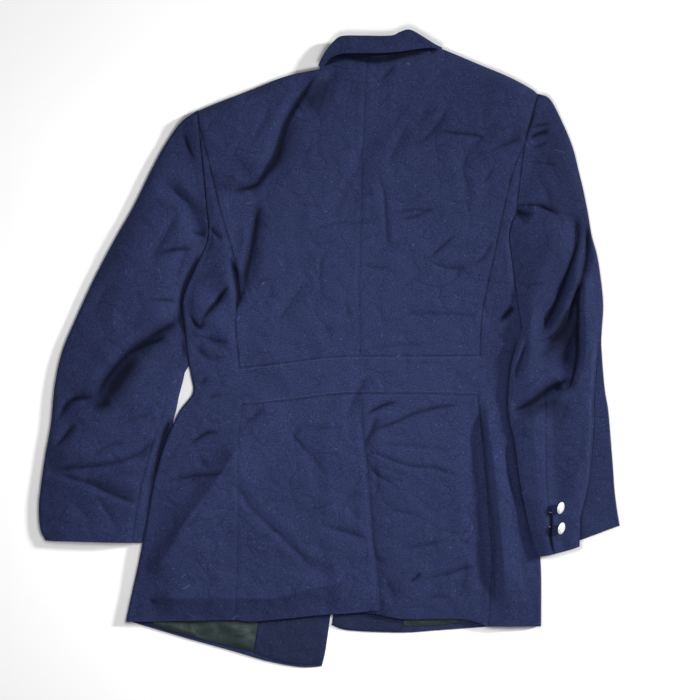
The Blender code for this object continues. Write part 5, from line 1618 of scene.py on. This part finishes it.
    def upper(self, share: np.ndarray) -> tuple[np.ndarray, np.ndarray]:
        """Upper layer of each ring, creased.

        Args:
            share: Shares of the width; the last ends above the tuck.

        Returns:
            Places of the layer and its painted shade.
        """
        limit = 1 - (self.show / self.width)[:, None]
        share = np.broadcast_to(share, (len(self.inner), np.shape(share)[-1])) * limit
        plan = self.place(share)
        x, y = plan[..., 0], plan[..., 1]
        pillow = 1 - np.abs(2 * share / limit - 1) ** 2.6
        fade = smoothstep(np.minimum(share / limit, 1 - share / limit) / 0.07)
        rise, painted_shade = np.zeros(x.size), np.zeros(x.size)
        for crease in self.creases:
            crease.add_to(x.ravel(), y.ravel(), rise, painted_shade)
        painted_shade = painted_shade.reshape(x.shape)
        seam = np.abs(share - (1 - self.elbow)[:, None] * limit) * self.width[:, None]
        sewn = smoothstep((self.stations - ELBOW_SEAM_FROM) / 0.2)[:, None]
        relief = (-0.3 * np.exp(-(seam / 1.8) ** 2) + 0.3 * np.exp(-((seam - 6.5) / 3.5) ** 2)) * sewn
        rough = 0.45 * ripple(x, y, 44.0, 21) + crumple(x, y, 22)
        height = self.base(x, y, share, limit) + (self.rise[:, None] + 0.8) * pillow + relief * fade
        height += (fold_heights(x, y, self.folds) + rise.reshape(x.shape) + rough) * fade
        height = kept_above(height, self.support(x, y) + CLOTH + 0.5)
        first = int(1.1 * BLEND_TO * self.rows)
        on_body = (1 - smoothstep(self.stations / BLEND_TO))[:first, None]
        body, dark = BACK.read(x[:first], y[:first])
        height[:first] += (body - height[:first]) * on_body
        painted_shade[:first] = np.maximum(painted_shade[:first], dark * on_body)
        # Painted shade along the elbow seam
        painted_shade = np.clip(painted_shade + 0.3 * np.exp(-(seam / 1.2) ** 2) * sewn, 0, 0.95)
        return lifted(plan, height), painted_shade

    def lower(self, share: np.ndarray) -> np.ndarray:
        """Lower layer of each ring at shares of its width."""
        plan = self.place(share)
        return lifted(plan, self.support(plan[..., 0], plan[..., 1]))

    def turn(self, where: str) -> tuple[np.ndarray, np.ndarray]:
        """The fold at one edge, from the upper layer to the lower one, with its outward direction."""
        sign, share = (1.0, 1.0) if where == "outer" else (-1.0, 0.0)
        high = self.upper(np.array([share]))[0][:, 0]
        low = self.lower(np.array([share]))[:, 0]
        outward = self.across * sign
        radius = (high[:, 2] - low[:, 2]) / 2
        if where == "inner" or not self.has_tuck:
            return turn_about(low[:, :2], outward, radius, low[:, 2], half_turn(self.turn_columns))
        return self.tucked_turn(low, outward, radius)

    def tucked_turn(self, low: np.ndarray, outward: np.ndarray, radius: np.ndarray) -> tuple:
        """Three half circles, joined by flat runs: the upper fold, the tuck inside, the lower fold.

        Args:
            low: Places of the lower layer at the edge.
            outward: Plan direction away from the cloth at each of them.
            radius: Half the distance from the lower layer to the upper one.

        Returns:
            Places and outward directions of the run's grid.
        """
        angles = np.linspace(0, math.pi, 9)
        step = (radius / 3)[:, None]
        back, rise, out_part, up_part = [], [], [], []
        for offset, level, bulge in ((self.show, 5, 1.0), (self.show + self.depth, 3, -1.0),
                                     (np.zeros_like(self.show), 1, 1.0)):
            back.append(offset[:, None] - bulge * step * np.sin(angles))
            rise.append(step * (level + np.cos(angles)))
            out_part.append(bulge * np.sin(angles))
            up_part.append(bulge * np.cos(angles))
        sine, cosine = np.sin(half_turn(27)), np.cos(half_turn(27))
        folded = smoothstep(self.show / 10.0)[:, None]
        back = (1 - folded) * -radius[:, None] * sine + folded * np.hstack(back)
        rise = (1 - folded) * radius[:, None] * (1 + cosine) + folded * np.hstack(rise)
        inset = radius / 3 + radius * 2 / 3 * (1 - folded[:, 0])
        plan = self.notched(low[:, None, :2] - outward[:, None] * (back + inset[:, None])[..., None])
        middle = lifted(plan, self.support(plan[..., 0], plan[..., 1]) + rise)
        out = sine + (np.hstack(out_part) - sine) * folded
        up = cosine + (np.hstack(up_part) - cosine) * folded
        length = np.maximum(np.hypot(out, up), 1e-6)
        return middle, lifted(outward[:, None] * (out / length)[..., None], up / length)

    def piece(self, node: str, upper: tuple, turn: tuple, below: np.ndarray,
              lies_on: list) -> bpy.types.Object:
        """One sleeve piece.

        Args:
            node: Its CAD node.
            upper: Places and painted shade of its upper run.
            turn: Places and outward directions of its fold.
            below: Places of its lower run.
            lies_on: Nodes that it lies on; not used.

        Returns:
            The new piece.
        """
        top, top_painted_shade = upper
        middle = drawn_in(np.concatenate([top, turn[0], below], axis=1))
        middle[0, :, 0] += -ARMHOLE_GAP if self.side == "left" else ARMHOLE_GAP
        outward = np.concatenate([np.broadcast_to(UP, top.shape), turn[1],
                                  np.broadcast_to(-UP, below.shape)], axis=1)
        painted_shade = np.pad(top_painted_shade, ((0, 0), (0, turn[0].shape[1])), mode="edge")
        painted_shade = np.pad(painted_shade, ((0, 0), (0, below.shape[1])))
        cloth = Cloth(middle, outward, painted_shade, CLOTH, (0.98, 1.0))
        return dressed(node, cloth, Finish.WOOL)

    def build(self) -> list:
        """Makes the top and the under sleeve, which meet at the elbow seam and the hidden seam."""
        seam = (1 - self.elbow)[:, None]
        inset = (SLEEVE_EDGE_TURN / self.width)[:, None]
        hidden = 1 - self.shape["hidden_seam"]
        spread = np.concatenate([[0.0, 0.006, 0.016], np.linspace(0.03, 1, self.top_columns)])
        upper = self.upper(seam + (1 - inset - seam) * spread)
        below = self.lower(1 - inset + (hidden - (1 - inset)) * even(7))
        top = self.piece(f"top_sleeve_{self.side}", upper, self.turn("outer"), below,
                         [f"under_sleeve_{self.side}"])
        columns = 24 if self.elbow.min() < 0.85 else 9
        spread = np.concatenate([[0.0, 0.02], np.linspace(0.06, 1, columns)])
        upper = self.upper(seam + (inset - seam) * spread)
        below = self.lower(inset + (hidden - inset) * even(9))
        under = self.piece(f"under_sleeve_{self.side}", upper, self.turn("inner"), below,
                           ["top_sleeve_left"] if self.rests_on is None else ["side_right"])
        return [top, under]


@dataclass
class Collar:
    """The fall, rolled over at the top, and the stand that joins it to the neckline."""

    columns: int = 96
    fall_rows: int = 14
    turn_rows: int = 9

    def build(self) -> None:
        """Makes both pieces."""
        share = even(self.columns)
        fold, edge = sample(COLLAR_FOLD, share), sample(COLLAR_EDGE, share)
        neck = sample(NECKLINE, 0.015 + 0.965 * share)
        outward = fold - edge
        outward /= np.linalg.norm(outward, axis=1, keepdims=True)
        bulge = np.sin(math.pi * share)
        low = STAND_LAYER + 1.2 * bulge
        radius = np.full(len(share), COLLAR_TURN)
        fold_start = fold - outward * radius[:, None]
        row = even(self.fall_rows)[:, None, None]
        plan = edge[None] * (1 - row) + fold_start[None] * row
        free_edge = (low + 2 * radius + 3.0 * bulge)[None]
        heights = free_edge + ((low + 2 * radius)[None] - free_edge) * smoothstep(row[..., 0])
        waves = ripple(plan[..., 0], plan[..., 1], 34.0, 31)
        heights = heights + 0.35 * waves * np.sin(math.pi * row[..., 0])
        fall = lifted(plan, heights)
        turn, normal = turn_about(fold, outward, radius, low, half_turn(self.turn_rows))
        middle = np.concatenate([fall, turn.transpose(1, 0, 2)], axis=0)
        normal = np.concatenate([np.broadcast_to(UP, fall.shape), normal.transpose(1, 0, 2)], axis=0)
        # The whole fall is darkened a little by painted shade
        dressed("collar_fall", Cloth(middle, normal, np.full(middle.shape[:2], 0.08), CLOTH),
                Finish.WOOL)
        row = even(8)[:, None, None]
        plan = neck[None] * (1 - row) + (fold_start + outward * 0.2)[None] * row
        level = BACK.read(neck[:, 0], neck[:, 1])[0][None]
        heights = level + (low[None] - level) * smoothstep(row[..., 0])
        # The stand under the fall is nearly black: painted shadow
        stand = Cloth.level(drawn_in(plan, "tb", 0.1), heights, np.full(heights.shape, 0.9))
        dressed("collar_stand", stand, Finish.WOOL)


def surface_of(pieces: list) -> BVHTree:
    """Tree of the faces of several pieces, for finding their upper side."""
    places, faces = [], []
    for piece in pieces:
        start = len(places)
        places += [v.co.copy() for v in piece.data.vertices]
        faces += [[start + i for i in p.vertices] for p in piece.data.polygons]
    return BVHTree.FromPolygons(places, faces)


def dropped_on(surface: BVHTree, x: float, y: float) -> np.ndarray | None:
    """The highest place of a surface at a place in the frame, in millimetres, or None beside it."""
    hit = surface.ray_cast(Vector((x, y, 100)) * MM, Vector((0, 0, -1)))[0]
    return None if hit is None else np.array(hit) / MM


def turned_mesh(name: str, profile: list, steps: int) -> bpy.types.Mesh:
    """A mesh turned about its own upright axis.

    Args:
        name: Name of the mesh.
        profile: Radius and height pairs in millimetres, from the axis over the top to the axis below.
        steps: Places around the axis.

    Returns:
        The closed mesh.
    """
    rings = profile[1:-1]
    places = [(0.0, 0.0, profile[0][1] * MM)]
    for radius, height in rings:
        for angle in np.linspace(0, 2 * math.pi, steps, endpoint=False):
            places.append((radius * MM * math.cos(angle), radius * MM * math.sin(angle), height * MM))
    places.append((0.0, 0.0, profile[-1][1] * MM))
    faces = []
    last = len(places) - 1
    for i in range(steps):
        j = (i + 1) % steps
        faces.append((0, 1 + i, 1 + j))
        for ring in range(len(rings) - 1):
            a, b = 1 + ring * steps, 1 + (ring + 1) * steps
            faces.append((a + i, b + i, b + j, a + j))
        a = 1 + (len(rings) - 1) * steps
        faces.append((last, a + j, a + i))
    mesh = bpy.data.meshes.new(name)
    mesh.from_pydata(places, [], faces)
    mesh.shade_smooth()
    return mesh


@dataclass
class CuffButtons:
    """Two domed shank buttons beside the right sleeve's vent, tilted as they hang."""

    sleeve: BVHTree
    steps: int = 64
    top: float = 2.9
    dome_radius: float = 6.7
    dome_base: float = 1.05
    rim_radius: float = 7.45
    rim_middle: float = 0.15
    rim_half_width: float = 0.55
    rim_half_height: float = 0.62

    def profile(self) -> list:
        """Dome, rolled rim, flat back and shank, as radius and height."""
        rise = self.top - self.dome_base
        dome = [(self.dome_radius * math.sin(a), self.dome_base + rise * math.cos(a))
                for a in np.linspace(0.12, 1, 9) * math.pi / 2]
        rim = [(self.rim_radius + self.rim_half_width * math.sin(a),
                self.rim_middle + self.rim_half_height * math.cos(a)) for a in np.linspace(-0.9, 2.4, 9)]
        back = [(6.9, -0.62), (2.0, -0.78), (1.5, -0.9), (1.4, -3.3), (1.0, -3.6), (0.0, -3.6)]
        return [(0.0, self.top), *dome, (6.85, 0.80), (7.10, 0.72), *rim, *back]

    def build(self) -> None:
        """Makes both buttons, seated on the sleeve by rays from above."""
        tilt = Matrix.Rotation(BUTTON_LEAN, 4, "Z") @ Matrix.Rotation(BUTTON_TILT, 4, "Y")
        for node, plan in CUFF_BUTTONS:
            x, y = (plan[k] - FOOTPRINT_CENTRE[k] for k in range(2))
            mesh = turned_mesh(f"dressed_{node}", self.profile(), self.steps)
            rises = []
            for vert in mesh.vertices:
                spot = tilt @ (vert.co / MM)
                hit = dropped_on(self.sleeve, x + spot.x, y + spot.y)
                if hit is not None:
                    rises.append(hit[2] - spot.z)
            mesh.transform(Matrix.Translation(Vector((x, y, max(rises) + 0.1)) * MM) @ tilt)
            mesh.materials.append(FINISHES[Finish.BUTTON].material())
            piece = in_scene(f"dressed_{node}", mesh)
            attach(piece, "root")
            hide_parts(node)
            LOG.info("%s: %d faces", piece.name, len(mesh.polygons))


@dataclass
class StitchRun:
    """A row of small stitches along a line on a surface.

    Attributes:
        name: Name of the piece.
        paths: Lines of plan points that the stitches follow.
        finish: The thread.
        length: Length of a stitch.
        gap: Length between two stitches.
        radius: Radius of the thread.
        offset: Distance from the line, to the left of its direction.
        rings: Rings of a stitch: share of its length, share of the radius, height.
        sides: Sides of the thread.
    """

    name: str
    paths: list
    finish: ThreadFinish
    length: float = 2.5
    gap: float = 0.9
    radius: float = 0.17
    offset: float = 0.0
    rings: tuple = ((0.0, 0.15, -0.30), (0.12, 0.8, -0.02), (0.35, 1.0, 0.10), (0.65, 1.0, 0.10),
                    (0.88, 0.8, -0.02), (1.0, 0.15, -0.30))
    sides: int = 6

    def one(self, start: np.ndarray, end: np.ndarray, places: list, faces: list) -> None:
        """Adds one stitch, a short thread that dips into the cloth at both ends.

        Args:
            start: Its first end on the cloth.
            end: Its other end.
            places: Places of the mesh, added to.
            faces: Faces of the mesh, added to.
        """
        along = (end - start) / max(np.linalg.norm(end - start), 1e-9)
        side = np.cross([0, 0, 1.0], along)
        side /= max(np.linalg.norm(side), 1e-9)
        up = np.cross(along, side)
        base, n = len(places), self.sides
        for share, wide, rise in self.rings:
            centre = start + (end - start) * share + up * rise
            for angle in np.arange(n) * 2 * math.pi / n:
                places.append(centre + self.radius * wide * (side * math.cos(angle) + up * math.sin(angle)))
        for ring in range(len(self.rings) - 1):
            for k in range(n):
                a, b = base + ring * n + k, base + ring * n + (k + 1) % n
                faces.append((a, b, b + n, a + n))
        faces.append(tuple(range(base + n - 1, base - 1, -1)))
        faces.append(tuple(range(len(places) - n, len(places))))

    def build(self, surface: BVHTree) -> None:
        """Makes the run on the given surface."""
        places, faces = [], []
        for path in self.paths:
            line, length = smooth_curve(path)
            tangent = np.gradient(line, axis=0)
            tangent /= np.maximum(np.linalg.norm(tangent, axis=1, keepdims=True), 1e-9)
            line = line + np.stack([-tangent[:, 1], tangent[:, 0]], axis=1) * self.offset
            pitch = self.length + self.gap
            for i in range(max(1, int(length[-1] / pitch))):
                ends = []
                for at in (i * pitch, i * pitch + self.length):
                    x, y = (np.interp(at, length, line[:, k]) - FOOTPRINT_CENTRE[k] for k in range(2))
                    ends.append(dropped_on(surface, x, y))
                if ends[0] is not None and ends[1] is not None:
                    self.one(*ends, places, faces)
        mesh = bpy.data.meshes.new(self.name)
        mesh.from_pydata([tuple(p * MM) for p in places], [], faces)
        mesh.materials.append(self.finish.material())
        mesh.shade_smooth()
        piece = in_scene(self.name, mesh)
        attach(piece, "root")
        LOG.info("%s: %d faces", piece.name, len(faces))


@dataclass(frozen=True)
class Lamp:
    """A square soft lamp.

    Attributes:
        name: Its name.
        place: Its place, in metres.
        size: Side of the square, in metres.
        power: Its power, in watts.
        aim: Plan place that it looks at, in metres.
    """

    name: str
    place: tuple
    size: float
    power: float
    aim: tuple

    def build(self) -> None:
        """Makes the lamp."""
        lamp = bpy.data.lights.new(self.name, "AREA")
        lamp.shape = "SQUARE"
        lamp.size = self.size
        lamp.energy = self.power
        obj = in_scene(self.name, lamp)
        obj.location = self.place
        aim = Vector((*self.aim, 0.0)) - Vector(self.place)
        obj.rotation_euler = aim.to_track_quat("-Z", "Y").to_euler()


@dataclass(frozen=True)
class Studio:
    """Pale floor, soft light and the photograph's camera.

    Attributes:
        lamps: The soft lamps.
        fill: Strength of the even light from all round.
        view_centre: Plan place under the camera, in metres.
        view_height: Height of the camera, in metres.
        view_width: Width of the frame at the cloth's level, in metres.
        view_level: Height of that level, in metres.
        floor_reach: Distance from the middle of the floor to its sides, in metres.
        floor_drop: Distance of the floor below the jacket, in metres.
    """

    lamps: tuple = (Lamp("key", (7.7, 2.4, 3.12), 0.95, 955.0, (0.05, 0.0)),
                    Lamp("top", (0.06, -0.05, 0.65), 0.3, 3.8, (0.06, -0.05)),
                    Lamp("side", (-6.0, -0.6, 1.7), 0.9, 95.0, (-0.1, 0.0)))
    fill: float = 0.23
    view_centre: tuple = (0.0273, -0.0011)
    view_height: float = 2.4
    view_width: float = 0.931
    view_level: float = 0.008
    floor_reach: float = 30.0
    floor_drop: float = 0.0003

    def floor(self) -> None:
        """A plain pale floor just below the jacket."""
        size = self.floor_reach
        mesh = bpy.data.meshes.new("floor")
        corners = [(-size, -size), (size, -size), (size, size), (-size, size)]
        mesh.from_pydata([(x, y, -self.floor_drop) for x, y in corners], [], [(0, 1, 2, 3)])
        graph = MaterialGraph("pale_floor")
        cloud = graph.noise(graph.places["Object"], 6.0)
        colour = graph.blend(cloud, (0.93, 0.93, 0.93, 1.0), (0.96, 0.96, 0.96, 1.0))
        mesh.materials.append(graph.finished({"Base Color": colour, "Roughness": 0.9}))
        in_scene("floor", mesh)

    def light(self) -> None:
        """The lamps and the even light."""
        for lamp in self.lamps:
            lamp.build()
        world = bpy.data.worlds.new("even_light")
        world.use_nodes = True
        back = world.node_tree.nodes["Background"]
        back.inputs["Color"].default_value = (1.0, 1.0, 1.0, 1.0)
        back.inputs["Strength"].default_value = self.fill
        bpy.context.scene.world = world

    def camera(self) -> None:
        """The camera straight above, framed as the photograph is."""
        data = bpy.data.cameras.new("photo")
        data.angle = 2 * math.atan(self.view_width / 2 / (self.view_height - self.view_level))
        data.clip_end = 20.0
        obj = in_scene("photo", data)
        obj.location = (*self.view_centre, self.view_height)
        bpy.context.scene.camera = obj

    def build(self) -> None:
        """Makes the whole studio."""
        self.floor()
        self.light()
        self.camera()
        bpy.context.scene.view_settings.view_transform = "Standard"


def main() -> None:
    """Dresses the whole jacket and sets up the studio."""
    logging.basicConfig(level=logging.INFO, format="%(message)s")
    BackPanels().build()
    SidePanels().build()
    Fronts().build()
    for strip in HEM_STRIPS:
        strip.build()
    Sleeve("left", SLEEVE_LEFT, SECTIONS_LEFT, LEFT_SLEEVE_FOLDS, LEFT_SLEEVE_CREASES).build()
    right = Sleeve("right", SLEEVE_RIGHT, SECTIONS_RIGHT, RIGHT_SLEEVE_FOLDS, RIGHT_SLEEVE_CREASES,
                   tuck=TUCK_RIGHT, bow=CUFF_BOW_RIGHT, rests_on=SIDE_EDGE_RIGHT).build()
    Collar().build()
    cuff = surface_of(right)
    CuffButtons(cuff).build()
    StitchRun("vent_threads", VENT_THREADS, PALE_THREAD, 2.4, 0.6, 0.5).build(cuff)
    back = surface_of([bpy.data.objects[f"cloth_{n}"] for n in ("waistband", "skirt_left", "skirt_right")])
    StitchRun("band_stitches_top", [WAIST_TOP], NAVY_THREAD, offset=-3.0).build(back)
    StitchRun("band_stitches_bottom", [WAIST_BOTTOM], NAVY_THREAD, offset=3.0).build(back)
    Studio().build()


if __name__ == "__main__":
    main()
